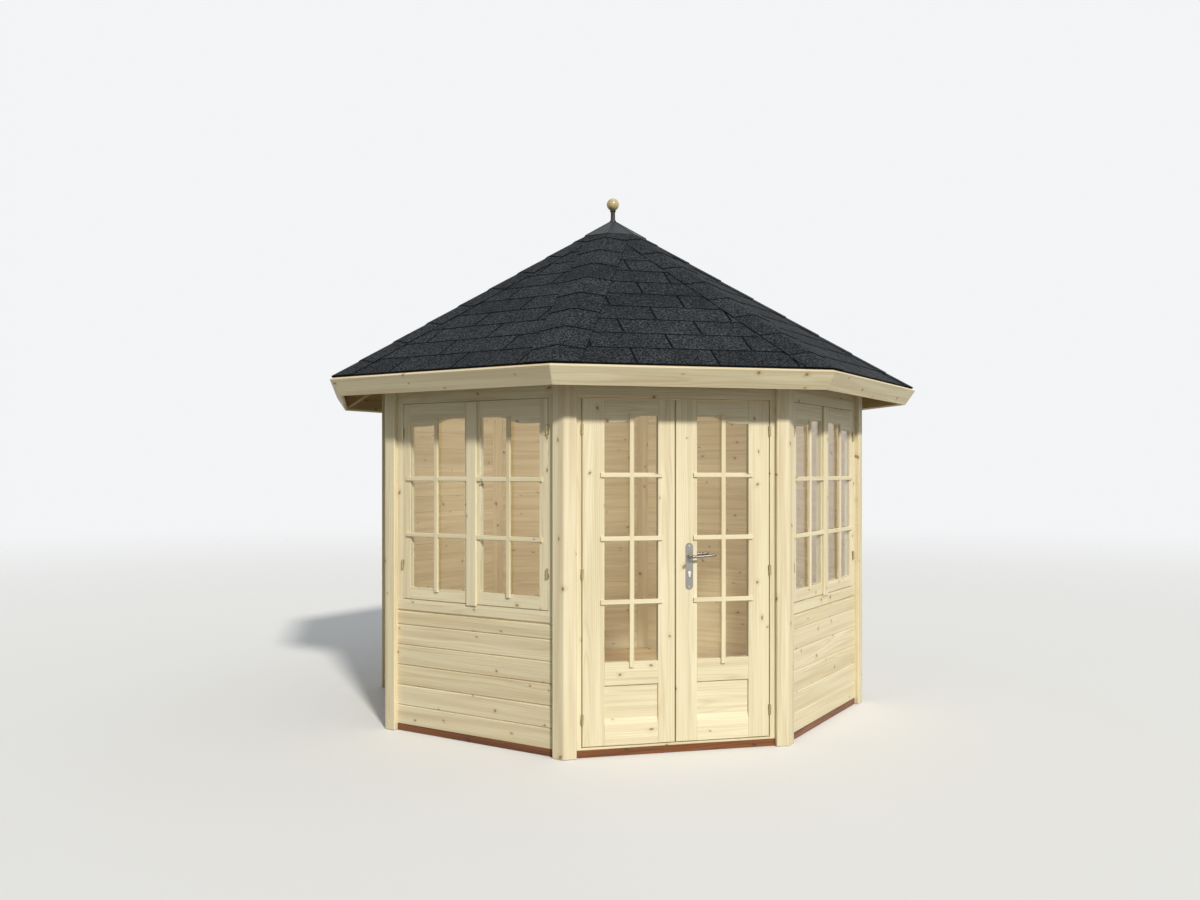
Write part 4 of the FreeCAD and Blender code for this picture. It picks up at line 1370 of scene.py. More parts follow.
def hinge_half(target: PieceMesh, u: float, bottom: float, height: float, hands: Sequence[Hand],
               side: Side = Side.FRONT, capped: str = "top") -> None:
    """Add a hinge half: a barrel with rounded ends and its narrow flap.

    Args:
        target: the mesh to add it to.
        u: place of the axis across the wall.
        bottom: its lower end.
        height: its length.
        hands: sides on which it has a flap.
        side: the wall.
        capped: which end is domed, "top" or "bottom".
    """
    reach, radius, rim, dome = PLAN.wall_face + 0.007, 0.0065, 0.0006, 0.0022
    flap_near, flap_far, flap_thick, play = 0.0042, 0.009, 0.002, 0.0005
    round_end = [(0.0, 0.0), (radius * 0.6, 0.0002), (radius, dome)]
    flat_end = [(0.0, 0.0), (radius - rim, 0.0), (radius, rim)]
    low = round_end if capped == "bottom" else flat_end
    high = round_end if capped == "top" else flat_end
    profile = low + [(across, height - up) for across, up in reversed(high)]
    lathe(target, profile, side.matrix() @ Matrix.Translation((u, -reach, bottom)), 24)
    for hand in hands:
        edge = (u + hand.value * flap_near, u + hand.value * flap_far)
        target.box(edge, (bottom + play, bottom + height - play), (PLAN.wall_face, PLAN.wall_face + flap_thick),
                   Grain.UPRIGHT, side, play)


@dataclass
class Windows:
    """Two pairs of casement sashes in their frames."""

    half_width: float = PLAN.sash_half
    gap: float = PLAN.window_gap
    meeting: float = PLAN.window_gap / 2
    depth: float = 0.036
    shape: ArchedFrame = ArchedFrame(0.054, PLAN.sash_half - PLAN.sash_stile, 0.842, 0.200)
    astragal_half: float = 0.036
    astragal_depth: float = 0.012
    astragal_foot: float = 0.008
    bar_lap: float = 0.022
    bar_foot: float = 0.016
    bar_rows: tuple[float, float] = (1.470, 1.147)
    hinge_rows: tuple[float, float] = (1.735, 0.970)
    hinge_play: float = 0.0002
    hinge_upper: float = 0.0278
    sides: tuple[Side, Side] = (Side.LEFT_WINDOW, Side.RIGHT_WINDOW)

    def frames(self) -> bpy.types.Object:
        """Returns: sills, heads and jambs of both windows."""
        mesh = PieceMesh("window_frames", 51, 0.035)
        reach, clear = (PLAN.frame_inner, PLAN.wall_face), PLAN.clear_half
        for side in self.sides:
            mesh.footed((-clear, clear), (PLAN.sill_bottom, PLAN.sill_top), reach, Grain.ACROSS, side, 0.005)
            head = (PLAN.door_head, PLAN.door_head + PLAN.head_height)
            mesh.box((-clear, clear), head, reach, Grain.ACROSS, side)
            for hand in Hand:
                edge = (hand.value * (self.half_width + self.gap), hand.value * clear)
                mesh.box(edge, (PLAN.sill_top, PLAN.door_head), reach, Grain.UPRIGHT, side)
        return mesh.build(JOINERY)

    def sashes(self) -> bpy.types.Object:
        """Returns: stiles and rails of the four sashes."""
        mesh = PieceMesh("sashes", 52, 0.035)
        bottom, top = PLAN.sill_top + self.gap, PLAN.door_head - self.gap
        reach = (PLAN.wall_face - self.depth, PLAN.wall_face)
        for side in self.sides:
            for hand in Hand:
                way = hand.value
                for edge in ((self.meeting, self.shape.inner), (self.shape.outer, self.half_width)):
                    mesh.footed((way * edge[0], way * edge[1]), (bottom, top), reach, Grain.UPRIGHT, side)
                span = (way * self.shape.inner, way * self.shape.outer)
                mesh.footed(span, (bottom, self.shape.bottom), reach, Grain.ACROSS, side)
                curve = [(way * across, height) for across, height in self.shape.curve()]
                outline = curve + [(way * self.shape.outer, top), (way * self.shape.inner, top)]
                mesh.front(outline, *reach, Grain.ACROSS, side)
        return mesh.build(JOINERY)

    def astragals(self) -> bpy.types.Object:
        """Returns: the strips that cover the meeting of the sashes."""
        mesh = PieceMesh("astragals", 53, 0.03)
        height = (PLAN.sill_top + self.gap - self.astragal_foot, PLAN.door_head - self.gap)
        reach = (PLAN.wall_face, PLAN.wall_face + self.astragal_depth)
        for side in self.sides:
            mesh.box((-self.astragal_half, self.astragal_half), height, reach, Grain.UPRIGHT, side, 0.0035)
        return mesh.build(JOINERY)

    def hinges(self) -> bpy.types.Object:
        """Returns: the barrels of the window hinges, both halves."""
        mesh = PieceMesh("window_barrels", 54, 0.0)
        for side in self.sides:
            for hand in Hand:
                u = hand.value * (self.half_width + self.gap / 2)
                for row in self.hinge_rows:
                    hinge_half(mesh, u, row - HINGE_BELOW, HINGE_LENGTH, (hand,), side, "bottom")
                    hinge_half(mesh, u, row + self.hinge_play, self.hinge_upper, (Hand(-hand.value),), side, "top")
        return mesh.build(HINGE)

    def build(self) -> None:
        """Make the pieces and tie them to the CAD nodes."""
        settle(self.frames(), "pavilion", "joinery_wood", "window_sill_left", "window_sill_right",
               "window_head_left", "window_head_right", "window_jambs")
        settle(self.sashes(), "pavilion", "joinery_wood", "window_sash_left_left", "window_sash_left_right",
               "window_sash_right_left", "window_sash_right_right")
        settle(self.astragals(), "pavilion", "joinery_wood", "window_astragal_left", "window_astragal_right")
        leaves = [(self.shape, hand, side) for side in self.sides for hand in Hand]
        bars = glazing_bars("window_bars", leaves, self.bar_rows, self.bar_lap, self.bar_foot)
        settle(bars, "pavilion", "joinery_wood")
        settle(self.hinges(), "pavilion", "hinge_metal", "window_hinges")
        paint("window_panes", GLASS)


@dataclass
class Door:
    """The double door with its frame and hinges."""

    half: float = PLAN.door_half
    leaf_half: float = PLAN.leaf_half
    leaf_bottom: float = 0.056
    leaf_top: float = 1.900
    leaf_inner: float = 1.460
    shape: ArchedFrame = ArchedFrame(0.110, PLAN.leaf_half - PLAN.leaf_stile, 0.498, 0.160)
    bar_lap: float = 0.022
    bar_foot: float = 0.029
    meeting: tuple[float, float] = (-0.0165, -0.0095)
    recess: tuple[float, float, float] = (0.160, 0.196, 0.375)
    recess_depth: float = 0.013
    bar_rows: tuple[float, float, float] = (1.493, 1.155, 0.818)
    hinge_rows: tuple[float, float, float] = (1.735, 0.970, 0.202)
    hinge_play: float = 0.0005
    bodies: tuple[str, str] = ("left_leaf", "right_leaf")

    def surround(self) -> bpy.types.Object:
        """Returns: jambs, head and threshold."""
        mesh = PieceMesh("door_surround", 61, 0.035)
        reach, clear = (PLAN.frame_inner, PLAN.wall_face), PLAN.clear_half
        for hand in Hand:
            edge = (hand.value * self.half, hand.value * clear)
            mesh.box(edge, (PLAN.bearer_height, PLAN.door_head), reach, Grain.UPRIGHT)
        mesh.box((-clear, clear), (PLAN.door_head, PLAN.door_head + PLAN.head_height), reach, Grain.ACROSS)
        mesh.box((-self.half, self.half), (PLAN.bearer_height, PLAN.floor_top), reach, Grain.ACROSS)
        return mesh.build(JOINERY)

    def leaf(self, hand: Hand) -> bpy.types.Object:
        """Args:
            hand: the leaf.
        Returns: its stiles, rails and sunk panel.
        """
        mesh = PieceMesh(f"leaf_{hand.name.lower()}", 62 + hand.value, 0.035)
        way = hand.value
        meeting = self.meeting[0] if hand is Hand.LEFT else self.meeting[1]
        reach = (self.leaf_inner, PLAN.wall_face)
        height = (self.leaf_bottom, self.leaf_top)
        inner, outer = way * self.shape.inner, way * self.shape.outer
        mesh.box((meeting, inner), height, reach, Grain.UPRIGHT, bevel=0.002)
        mesh.box((outer, way * self.leaf_half), height, reach, Grain.UPRIGHT, bevel=0.002)
        curve = [(way * across, top) for across, top in self.shape.curve()]
        mesh.front(curve + [(outer, self.leaf_top), (inner, self.leaf_top)], *reach, Grain.ACROSS)
        foot, sunk, panel_top = self.recess
        mesh.box((inner, outer), (panel_top, self.shape.bottom), reach, Grain.ACROSS)
        panel_reach = (self.leaf_inner + self.recess_depth, PLAN.wall_face - self.recess_depth)
        mesh.box((inner, outer), (sunk - 0.004, panel_top + 0.001), panel_reach, Grain.ACROSS, bevel=0.0)
        section = [(reach[0], self.leaf_bottom), (reach[1], self.leaf_bottom), (reach[1], foot),
                   (panel_reach[1], sunk), (panel_reach[0], sunk), (reach[0], foot)]
        rings = [[Vector((u, -distance, z)) for distance, z in section] for u in sorted((inner, outer))]
        mesh.loft(*rings, Grain.ACROSS)
        return mesh.build(JOINERY)

    def hinges(self, hand: Hand | None) -> bpy.types.Object:
        """Args:
            hand: the leaf whose upper halves are made, or None for all lower halves on the frame.
        Returns: the hinge halves.
        """
        label = "frame" if hand is None else hand.name.lower()
        mesh = PieceMesh(f"door_barrels_{label}", 66, 0.0)
        for one in Hand if hand is None else (hand,):
            u = one.value * (self.half - PLAN.door_gap / 2)
            for row in self.hinge_rows:
                if hand is None:
                    hinge_half(mesh, u, row - HINGE_BELOW, HINGE_LENGTH, (one,), capped="bottom")
                else:
                    hinge_half(mesh, u, row + self.hinge_play, HINGE_LENGTH, (Hand(-one.value),), capped="top")
        return mesh.build(HINGE)

    def build(self) -> None:
        """Make the pieces and tie them to the CAD nodes."""
        settle(self.surround(), "pavilion", "joinery_wood", "door_jambs", "door_head", "door_threshold")
        settle(self.hinges(None), "pavilion", "hinge_metal", "door_hinges_frame")
        for hand, body in zip(Hand, self.bodies):
            name = hand.name.lower()
            settle(self.leaf(hand), body, "joinery_wood", f"door_leaf_{name}")
            leaf = [(self.shape, hand, Side.FRONT)]
            bars = glazing_bars(f"door_bars_{name}", leaf, self.bar_rows, self.bar_lap, self.bar_foot)
            settle(bars, body, "joinery_wood")
            settle(self.hinges(hand), body, "hinge_metal", f"door_hinges_leaf_{name}")
            paint(f"door_glass_{name}", GLASS)


@dataclass
class Lock:
    """Lock plates, key cylinder and levers on both faces of the right leaf."""

    u: float = 0.065
    spindle: float = 1.054
    plate: tuple[float, float] = (0.8735, 1.1265)
    plate_half: float = 0.021
    plate_depth: float = 0.003
    cylinder: float = 0.966
    lever_reach: float = 0.050
    lever_length: float = 0.140
    lever_rise: float = 0.007
    bend: float = 0.013
    screw_inset: float = 0.016
    cylinder_depth: float = 0.004
    faces: tuple[tuple[float, int], tuple[float, int]] = ((1.500, 1), (1.460, -1))

    def plates(self) -> bpy.types.Object:
        """Returns: both plates, round at their ends."""
        mesh = PieceMesh("plates", 71, 0.0)
        radius = self.plate_half
        low, high = self.plate[0] + radius, self.plate[1] - radius
        arc = [math.pi * step / 14 for step in range(15)]
        outline = [(self.u + radius * math.cos(angle), high + radius * math.sin(angle)) for angle in arc]
        outline += [(self.u - radius * math.cos(angle), low - radius * math.sin(angle)) for angle in arc]
        for face, way in self.faces:
            mesh.front(outline, *sorted((face, face + way * self.plate_depth)), Grain.UPRIGHT, bevel=0.0011)
        return mesh.build(STEEL)

    def screws(self) -> bpy.types.Object:
        """Returns: the countersunk screws of the plates, as copies of one screw."""
        pattern = PieceMesh("screw_pattern", 72, 0.0)
        facing = Matrix.Rotation(math.radians(90), 4, "X")
        profile = [(0.0, -0.001), (0.0036, -0.001), (0.0036, 0.0002), (0.0030, 0.0007), (0.0, 0.0009)]
        lathe(pattern, profile, facing, 20)
        copies = CopyField("plate_screws", 73, 0.0)
        for face, way in self.faces:
            front = face + way * self.plate_depth
            for height in (self.plate[0] + self.screw_inset, self.plate[1] - self.screw_inset):
                copies.put(Vector((self.u, -front, height)), 0.0 if way > 0 else math.pi)
        return copies.build(pattern.build(NICKEL_PAINTED_HIGHLIGHT), NICKEL_PAINTED_HIGHLIGHT)

    def cylinders(self) -> tuple[bpy.types.Object, bpy.types.Object]:
        """Returns: the key cylinders, and the near-black strips painted as the shade inside their key slots."""
        body = PieceMesh("cylinders", 74, 0.0)
        slots = PieceMesh("key_slots", 75, 0.0)
        radius, web, drop = 0.0085, 0.005, 0.024
        start = math.asin(web / radius)
        arc = [-math.pi / 2 + start + (2 * math.pi - 2 * start) * step / 24 for step in range(25)]
        outline = [(self.u + radius * math.cos(angle), self.cylinder + radius * math.sin(angle))
                   for angle in arc]
        foot = [(self.u + web * math.cos(angle), self.cylinder - drop + web + web * math.sin(angle))
                for angle in (math.pi + math.pi * step / 8 for step in range(9))]
        for face, way in self.faces:
            base = face + way * self.plate_depth
            body.front(outline + foot, *sorted((base, base + way * self.cylinder_depth)), Grain.UPRIGHT, bevel=0.0007)
            tip = base + way * (self.cylinder_depth + 0.00005)
            # Painted shade: a thin near-black strip on the cylinder's face stands in for the shaded hollow of the key
            # slot.
            slots.box((self.u - 0.0006, self.u + 0.0006), (self.cylinder - 0.006, self.cylinder + 0.003),
                      sorted((base + way * 0.0035, tip)), Grain.UPRIGHT, bevel=0.0)
        return body.build(NICKEL_PAINTED_HIGHLIGHT), slots.build(KEY_SLOT_PAINTED_SHADE)

    def levers(self) -> bpy.types.Object:
        """Returns: both levers, swept from the neck through an elbow to a waved grip."""
        mesh = PieceMesh("levers", 76, 0.0)
        for face, way in self.faces:
            seat = face + way * (self.plate_depth + 0.0003)
            far = face + way * self.lever_reach
            path = [Vector((self.u, -seat, self.spindle)), Vector((self.u, -(seat + way * 0.004), self.spindle))]
            sizes = [(0.0115, 0.0115), (0.0112, 0.0112)]
            path.append(Vector((self.u, -(seat + way * 0.0055), self.spindle)))
            sizes.append((0.0088, 0.0088))
            for step in range(9):
                angle = math.pi / 2 * step / 8
                path.append(Vector((self.u + self.bend * (1 - math.cos(angle)),
                                    -(far - way * self.bend * (1 - math.sin(angle))), self.spindle)))
                sizes.append((0.0088 - 0.0008 * step / 8, 0.0088 - 0.0026 * step / 8))
            for step in range(1, 25):
                share = step / 24
                across = self.u + self.bend + (self.lever_length - self.bend) * share
                wave = self.lever_rise * (3 * share ** 2 - 2 * share ** 3)
                path.append(Vector((across, -far, self.spindle + wave)))
                swell = 0.0072 + 0.0008 * math.cos(2 * math.pi * share)
                end = math.sqrt(max(1 - max(share - 0.94, 0) ** 2 / 0.0038, 0.02))
                sizes.append((swell * end, 0.0058 * end))
            sweep(mesh, path, sizes)
        return mesh.build(LEVER_DARKENED_REFLECTION)

    def build(self) -> None:
        """Make the pieces and tie them to the CAD nodes."""
        settle(self.plates(), "right_leaf", "handle_metal", "lock_plates")
        settle(self.screws(), "right_leaf", "handle_metal")
        cylinders, slots = self.cylinders()
        settle(cylinders, "right_leaf", "handle_metal", "key_cylinders")
        settle(slots, "right_leaf", "handle_metal")
        settle(self.levers(), "lever", "handle_metal", "door_levers")


@dataclass
class Roof:
    """Fascias, roof boards, rafters and shingles of the eight slopes."""

    exposure: float = 0.180
    first_course: float = 0.006
    tab_width: float = 0.4375
    slot: float = 0.007
    tab_thickness: float = 0.0032
    felt: float = 0.0014
    hip_width: float = 0.145
    hip_exposure: float = 0.248
    hip_start: float = 0.202
    soffit_pitch: float = 0.116
    rafter_width: float = 0.045
    rafter_depth: float = 0.095
    even_slots: float = -0.305
    odd_slots: float = -0.077
    tab_lap: float = 0.022
    tab_tone: float = 0.18
    tabs_end: float = 0.15
    caps_end: float = 0.19
    cap_lap: float = 0.03
    fold_width: float = 0.014
    hip_gap: float = 0.0012
    hub: float = 0.060
    soffit_cut: float = 0.004

    def fascias(self) -> bpy.types.Object:
        """Returns: the eight fascia boards, square to the slope."""
        mesh = PieceMesh("fascias", 81, 0.03)
        sine, cosine = PLAN.slope_sine, PLAN.slope_cosine
        top = (PLAN.eave_reach, PLAN.roof_height(PLAN.eave_reach))
        back = (PLAN.board_reach, PLAN.roof_height(PLAN.board_reach))
        drop = (PLAN.fascia_width * sine, PLAN.fascia_width * cosine)
        section = [top, (top[0] - drop[0], top[1] - drop[1]), (back[0] - drop[0], back[1] - drop[1]), back]
        for side in Side:
            mesh.mitred(section, side, BOARD_TRIM, 0.0015)
        return mesh.build(SPRUCE)

    def deck(self) -> bpy.types.Object:
        """Returns: the roof boards, level strips with V joints on their under side, darkened as painted shade."""
        mesh = PieceMesh("deck_boards", 82, 0.05)
        length = (PLAN.board_reach - PLAN.roof_opening) / PLAN.slope_cosine
        count = round(length / self.soffit_pitch)
        for side in Side:
            for number in range(count):
                low, high = length * number / count + 0.0003, length * (number + 1) / count - 0.0003
                cut = self.soffit_cut
                section = [PLAN.on_slope(low, 0), PLAN.on_slope(low, cut - PLAN.board),
                           PLAN.on_slope(low + cut, -PLAN.board), PLAN.on_slope(high - cut, -PLAN.board),
                           PLAN.on_slope(high, cut - PLAN.board), PLAN.on_slope(high, 0)]
                mesh.mitred(section, side, BOARD_TRIM, 0.0)
        return mesh.build(SOFFIT_PAINTED_SHADE)

    def rafters(self) -> bpy.types.Object:
        """Returns: the hip rafters, notched over the posts."""
        mesh = PieceMesh("hips", 83, 0.05)
        half = self.rafter_width / 2
        hip_rise = PLAN.rise * HALF_COS
        side_play = half * math.sin(math.pi / SIDES)
        apex = PLAN.roof_height(0, -PLAN.board) - side_play * PLAN.rise
        back_top = PLAN.roof_height(PLAN.board_reach)

        def top(reach: float) -> float:
            """Returns: height of the rafter's upper edge at this reach."""
            return apex - hip_rise * reach

        def fascia_reach(line: float) -> float:
            """Returns: where a line down the rafter meets the fascia's back; line is its height at the middle."""
            run = PLAN.board_reach - (back_top - line) * PLAN.rise
            return run / (HALF_COS + hip_rise * PLAN.rise) - side_play

        upper, lower = fascia_reach(apex), fascia_reach(apex - self.rafter_depth)
        seat_in, seat_out = (apex - self.rafter_depth - PLAN.post_top) / hip_rise, PLAN.post_front / HALF_COS
        outline = [(upper, top(upper)), (self.hub, top(self.hub)), (self.hub, top(self.hub) - self.rafter_depth),
                   (seat_in, PLAN.post_top), (seat_out, PLAN.post_top),
                   (seat_out, top(seat_out) - self.rafter_depth), (lower, top(lower) - self.rafter_depth)]
        slope = Vector((0, 1, hip_rise)).normalized()
        for side in Side:
            turn = Matrix.Rotation(side.turn() + math.pi / SIDES, 4, "Z")
            rings = [[Vector((way * half, -reach, height)) for reach, height in outline] for way in (-1, 1)]
            mesh.loft(*rings, (slope, slope.cross(Vector((1, 0, 0)))), turn, 0.0015)
        return mesh.build(INNER)

    def underlay(self) -> bpy.types.Object:
        """Returns: the felt under the shingles and the starter strip at the eave."""
        mesh = PieceMesh("felt", 84, 0.0)
        length = (PLAN.board_reach - PLAN.roof_opening) / PLAN.slope_cosine
        starter = self.felt + self.tab_thickness
        for side in Side:
            for low, high, under, over in ((0.001, length, 0.0, self.felt), (0.004, 0.19, self.felt, starter)):
                section = [PLAN.on_slope(low, under), PLAN.on_slope(low, over),
                           PLAN.on_slope(high, over if high == length else under + 0.0001),
                           PLAN.on_slope(high, under)]
                mesh.mitred(section, side, 0.0005, 0.0)
        return mesh.build(SHINGLE, mark_bare)

    def clipped(self, left: float, right: float, low: float, high: float) -> list[Point]:
        """Cut a tab at the two hips.

        Args:
            left: its left edge.
            right: its right edge.
            low: its lower edge, up the slope.
            high: its upper edge.
        Returns: corners of the part on the slope, or an empty list.
        """
        corners = [(left, low), (right, low), (right, high), (left, high)]
        for way in (-1, 1):
            def room(corner: Point) -> float:
                """Returns: distance from the hip, below zero beyond it."""
                reach = PLAN.board_reach - corner[1] * PLAN.slope_cosine
                return reach * HALF_TAN - self.hip_gap - way * corner[0]

            kept: list[Point] = []
            for here, after in zip(corners, corners[1:] + corners[:1]):
                first, second = room(here), room(after)
                if first >= 0:
                    kept.append(here)
                if first * second < 0:
                    share = first / (first - second)
                    kept.append((here[0] + (after[0] - here[0]) * share,
                                 here[1] + (after[1] - here[1]) * share))
            corners = kept
            if len(corners) < 3:
                return []
        width = max(x for x, _ in corners) - min(x for x, _ in corners)
        return corners if width > 0.012 else []

    def shingles(self) -> bpy.types.Object:
        """Returns: the shingle tabs of all slopes, lapped by geometry nodes."""
        chance = random.Random(85)
        points: list[Vector] = []
        faces: list[list[int]] = []
        turns: list[float] = []
        rims: list[float] = []
        length = (PLAN.board_reach - self.tabs_end) / PLAN.slope_cosine
        for side in Side:
            drift = 0.0 if side is Side.FRONT else chance.uniform(-0.2, 0.2)
            row, low = 0, self.first_course
            while low < length:
                high = min(low + self.exposure + self.tab_lap, length + 0.02)
                start = (self.even_slots if row % 2 == 0 else self.odd_slots) + drift - 4 * self.tab_width
                nudge = chance.uniform(-0.006, 0.006)
                for number in range(9):
                    left = start + number * self.tab_width + nudge + self.slot / 2
                    right = left + self.tab_width - self.slot
                    sag = chance.uniform(-0.0012, 0.0012)
                    corners = self.clipped(left, right, low + sag, high)
                    if not corners:
                        continue
                    base = len(points)
                    for x, up in corners:
                        share = (up - low - sag) / (high - low - sag)
                        lift = self.felt + 0.0002 + (self.tab_thickness + 0.0004) * (1 - share)
                        points.append(Vector((x, up, lift)))
                        # Distance from the tab's left, right and lower edges, which the shader darkens as painted
                        # shade.
                        rims += [x - left, right - x, up - low - sag]
                    faces.append(list(range(base, base + len(corners))))
                    turns.append(side.turn())
                row += 1
                low += self.exposure
        mesh = bpy.data.meshes.new("tab_outlines")
        mesh.from_pydata(points, [], faces)
        note(mesh, "side_turn", turns, domain="FACE")
        note(mesh, "rim", rims, "FLOAT_VECTOR")
        base = place_object("tab_outlines", mesh)
        values = {"Thickness": self.tab_thickness, "Pitch": math.radians(PLAN.pitch),
                  "Eave Reach": PLAN.board_reach, "Eave Height": PLAN.roof_height(PLAN.board_reach),
                  "Tone Spread": self.tab_tone, "Seed": 86, "Material": SHINGLE.material()}
        return run_tree(base, shingle_tree(), values, "shingles")

    def hip_caps(self) -> bpy.types.Object:
        """Returns: shingles bent over the hips, each lapping the one below."""
        mesh = PieceMesh("hip_caps", 87, self.tab_tone)
        sine, cosine = PLAN.slope_sine, PLAN.slope_cosine
        foot = Vector((PLAN.board_reach * HALF_TAN, -PLAN.board_reach, PLAN.roof_height(PLAN.board_reach)))
        apex = Vector((0, 0, PLAN.board_apex))
        run = (apex - foot).length
        climb = (apex - foot) / run
        normal = Vector((0, -sine, cosine))
        away = normal.cross(climb).normalized()
        if away.x > 0:
            away = -away
        mirror = Matrix.Rotation(math.pi / SIDES, 3, "Z") @ Matrix.Diagonal((-1, 1, 1)) @ \
            Matrix.Rotation(-math.pi / SIDES, 3, "Z")
        bisector = (normal + mirror @ normal).normalized()
        corner = 1 / bisector.dot(normal)
        last = (PLAN.board_reach - self.caps_end) / HALF_COS / math.cos(math.atan(PLAN.rise * HALF_COS))
        sag = away.dot(Vector((0, -cosine, -sine))) * self.hip_width / climb.dot(Vector((0, cosine, sine)))

        def ring(along: float, wing: float, under: float) -> Ring:
            """Returns: a cap's section at these places up the hip, on the fold and at the wings."""
            over = under + self.tab_thickness
            one: list[tuple[Vector, Vector]] = []
            for width, drop in ((self.hip_width, 0.0), (self.fold_width, 0.0), (0.0, 0.0016)):
                at = wing if width == self.hip_width else along
                base = foot + climb * at + away * width
                lift = bisector * corner if width == 0 else normal
                one.append((base + lift * (under - drop), base + lift * (over - drop)))
            other = [(mirror @ low, mirror @ high) for low, high in one[:-1]]
            lows = [low for low, _ in one] + [low for low, _ in reversed(other)]
            highs = [high for _, high in one] + [high for _, high in reversed(other)]
            return lows + highs[::-1]

        starts = [0.003]
        while starts[-1] + self.hip_exposure < last:
            starts.append(self.hip_start + self.hip_exposure * (len(starts) - 1))
        base, beside = self.felt + self.tab_thickness + 0.0006, self.hip_width - self.fold_width
        rims: list[float] = []
        for side in Side:
            for number, start in enumerate(starts):
                wing = start + sag if number == 0 else start
                end = min(starts[number + 1] + self.cap_lap if number + 1 < len(starts) else last, last)
                rings = (ring(start, wing, base + self.tab_thickness + 0.0016), ring(end, end, base))
                mesh.loft(*rings, Grain.INWARD, side.matrix(), 0.0)
                for up in (0.0, end - start):
                    for across in (0.0, beside, self.hip_width, beside, 0.0) * 2:
                        rims += [across, 1.0, up]

        def mark(made: bpy.types.Mesh) -> None:
            """Mark cut edges, and the distance from the rims that the shader darkens as painted shade."""
            mark_edges(made)
            note(made, "rim", rims, "FLOAT_VECTOR")

        return mesh.build(SHINGLE, mark)

    def build(self) -> None:
        """Make the pieces and tie them to the CAD nodes."""
        settle(self.hip_caps(), "pavilion", "shingles")
        settle(self.fascias(), "pavilion", "wood", "fascia_boards_main", "fascia_boards_diagonal")
        settle(self.deck(), "pavilion", "wood", "roof_boards_main", "roof_boards_diagonal")
        settle(self.rafters(), "pavilion", "wood", "hip_rafters")
        settle(self.underlay(), "pavilion", "shingles")
        settle(self.shingles(), "pavilion", "shingles", "shingle_layer_main", "shingle_layer_diagonal")


def mark_edges(mesh: bpy.types.Mesh) -> None:
    """Mark the cut edges of shingles, which show bare bitumen.

    Args:
        mesh: shingles whose upper faces look upwards.
    """
    note(mesh, "edge", [0.0 if face.normal.z > 0.6 else 1.0 for face in mesh.polygons], domain="FACE")


def mark_bare(mesh: bpy.types.Mesh) -> None:
    """Mark a whole mesh as bare bitumen felt.

    Args:
        mesh: the felt.
    """
    note(mesh, "edge", [1.0] * len(mesh.polygons), domain="FACE")


@dataclass
class Crown:
    """Sheet cap with folded hips, apex block and the turned finial."""

    reach: float = 0.212
    peak: float = 0.0135
    under: float = 0.007
    sheet: float = 0.003
    play: float = 0.0022
    stem: float = 0.015
    ball: float = 0.042
    neck_length: float = 0.079

    def cap(self) -> bpy.types.Object:
        """Returns: eight sheets and the folded seams on their hips."""
        mesh = PieceMesh("cap_sheets", 91, 0.0)
        over = self.under + self.sheet + self.play
        for side in Side:
            section = [(self.reach, PLAN.roof_height(self.reach, over - self.sheet)),
                       (self.reach, PLAN.roof_height(self.reach, over)),
                       (self.peak, PLAN.roof_height(self.peak, over)),
                       (self.peak, PLAN.roof_height(self.peak, over - self.sheet))]
            mesh.mitred(section, side, 0.0, 0.0)
            corner = side.matrix() @ Matrix.Rotation(math.pi / SIDES, 4, "Z")
            low, high = (self.reach - 0.001) / HALF_COS, self.peak / HALF_COS
            ends = [Vector((0, -far, PLAN.roof_height(far * HALF_COS, over))) for far in (low, high)]
            fold = [(-0.0045, -0.0012), (-0.0022, 0.0022), (0.0, 0.0032), (0.0022, 0.0022), (0.0045, -0.0012)]
            rings = [[end + Vector((x, 0, z)) for x, z in fold] for end in ends]
            mesh.loft(*rings, Grain.INWARD, corner, 0.0)
        return mesh.build(CAP)

    def finial(self) -> tuple[bpy.types.Object, bpy.types.Object]:
        """Returns: the ball, and the neck that carries it, coloured near-black as painted shade beneath the ball."""
        base = PLAN.roof_height(self.stem, self.under + self.sheet)
        opening = math.asin(self.stem / self.ball)
        middle = base + self.neck_length + self.ball * math.cos(opening)
        ball = PieceMesh("ball", 92, 0.0)
        count = 36
        angles = [-math.pi / 2 + opening + (math.pi - opening) * step / count for step in range(count + 1)]
        profile = [(max(self.ball * math.cos(angle), 0.0), middle + self.ball * math.sin(angle))
                   for angle in angles]
        profile[-1] = (0.0, middle + self.ball)
        lathe(ball, profile, Matrix.Identity(4), 64)
        neck = PieceMesh("neck", 93, 0.0)
        ring_at = base + self.neck_length
        profile = [(0.0, base - 0.02), (0.024, base - 0.006), (0.0235, base + 0.003), (0.019, base + 0.010),
                   (0.0155, base + 0.016), (0.0148, ring_at - 0.018), (0.0165, ring_at - 0.012),
                   (0.0200, ring_at - 0.008), (0.0205, ring_at - 0.004), (0.0180, ring_at - 0.0005),
                   (0.0, ring_at + 0.002)]
        lathe(neck, profile, Matrix.Identity(4), 40)
        return ball.build(TURNED), neck.build(NECK_PAINTED_SHADE)

    def build(self) -> None:
        """Make the pieces and tie them to the CAD nodes."""
        settle(self.cap(), "pavilion", "cap_sheet", "roof_cap")
        ball, neck = self.finial()
        settle(ball, "pavilion", "turned_wood", "finial")
        settle(neck, "pavilion", "turned_wood")
        paint("apex_block", BLOCK)


def seen_ray(b: TreeBuilder) -> bpy.types.NodeSocket:
    """Args:
        b: a tree builder.
    Returns: 1 for rays that show the backdrop: straight, mirrored or through glass.
    """
    path = b.node("ShaderNodeLightPath").outputs
    mirrored = b.math("MAXIMUM", path["Is Glossy Ray"], path["Is Transmission Ray"])
    return b.math("MAXIMUM", path["Is Camera Ray"], mirrored)


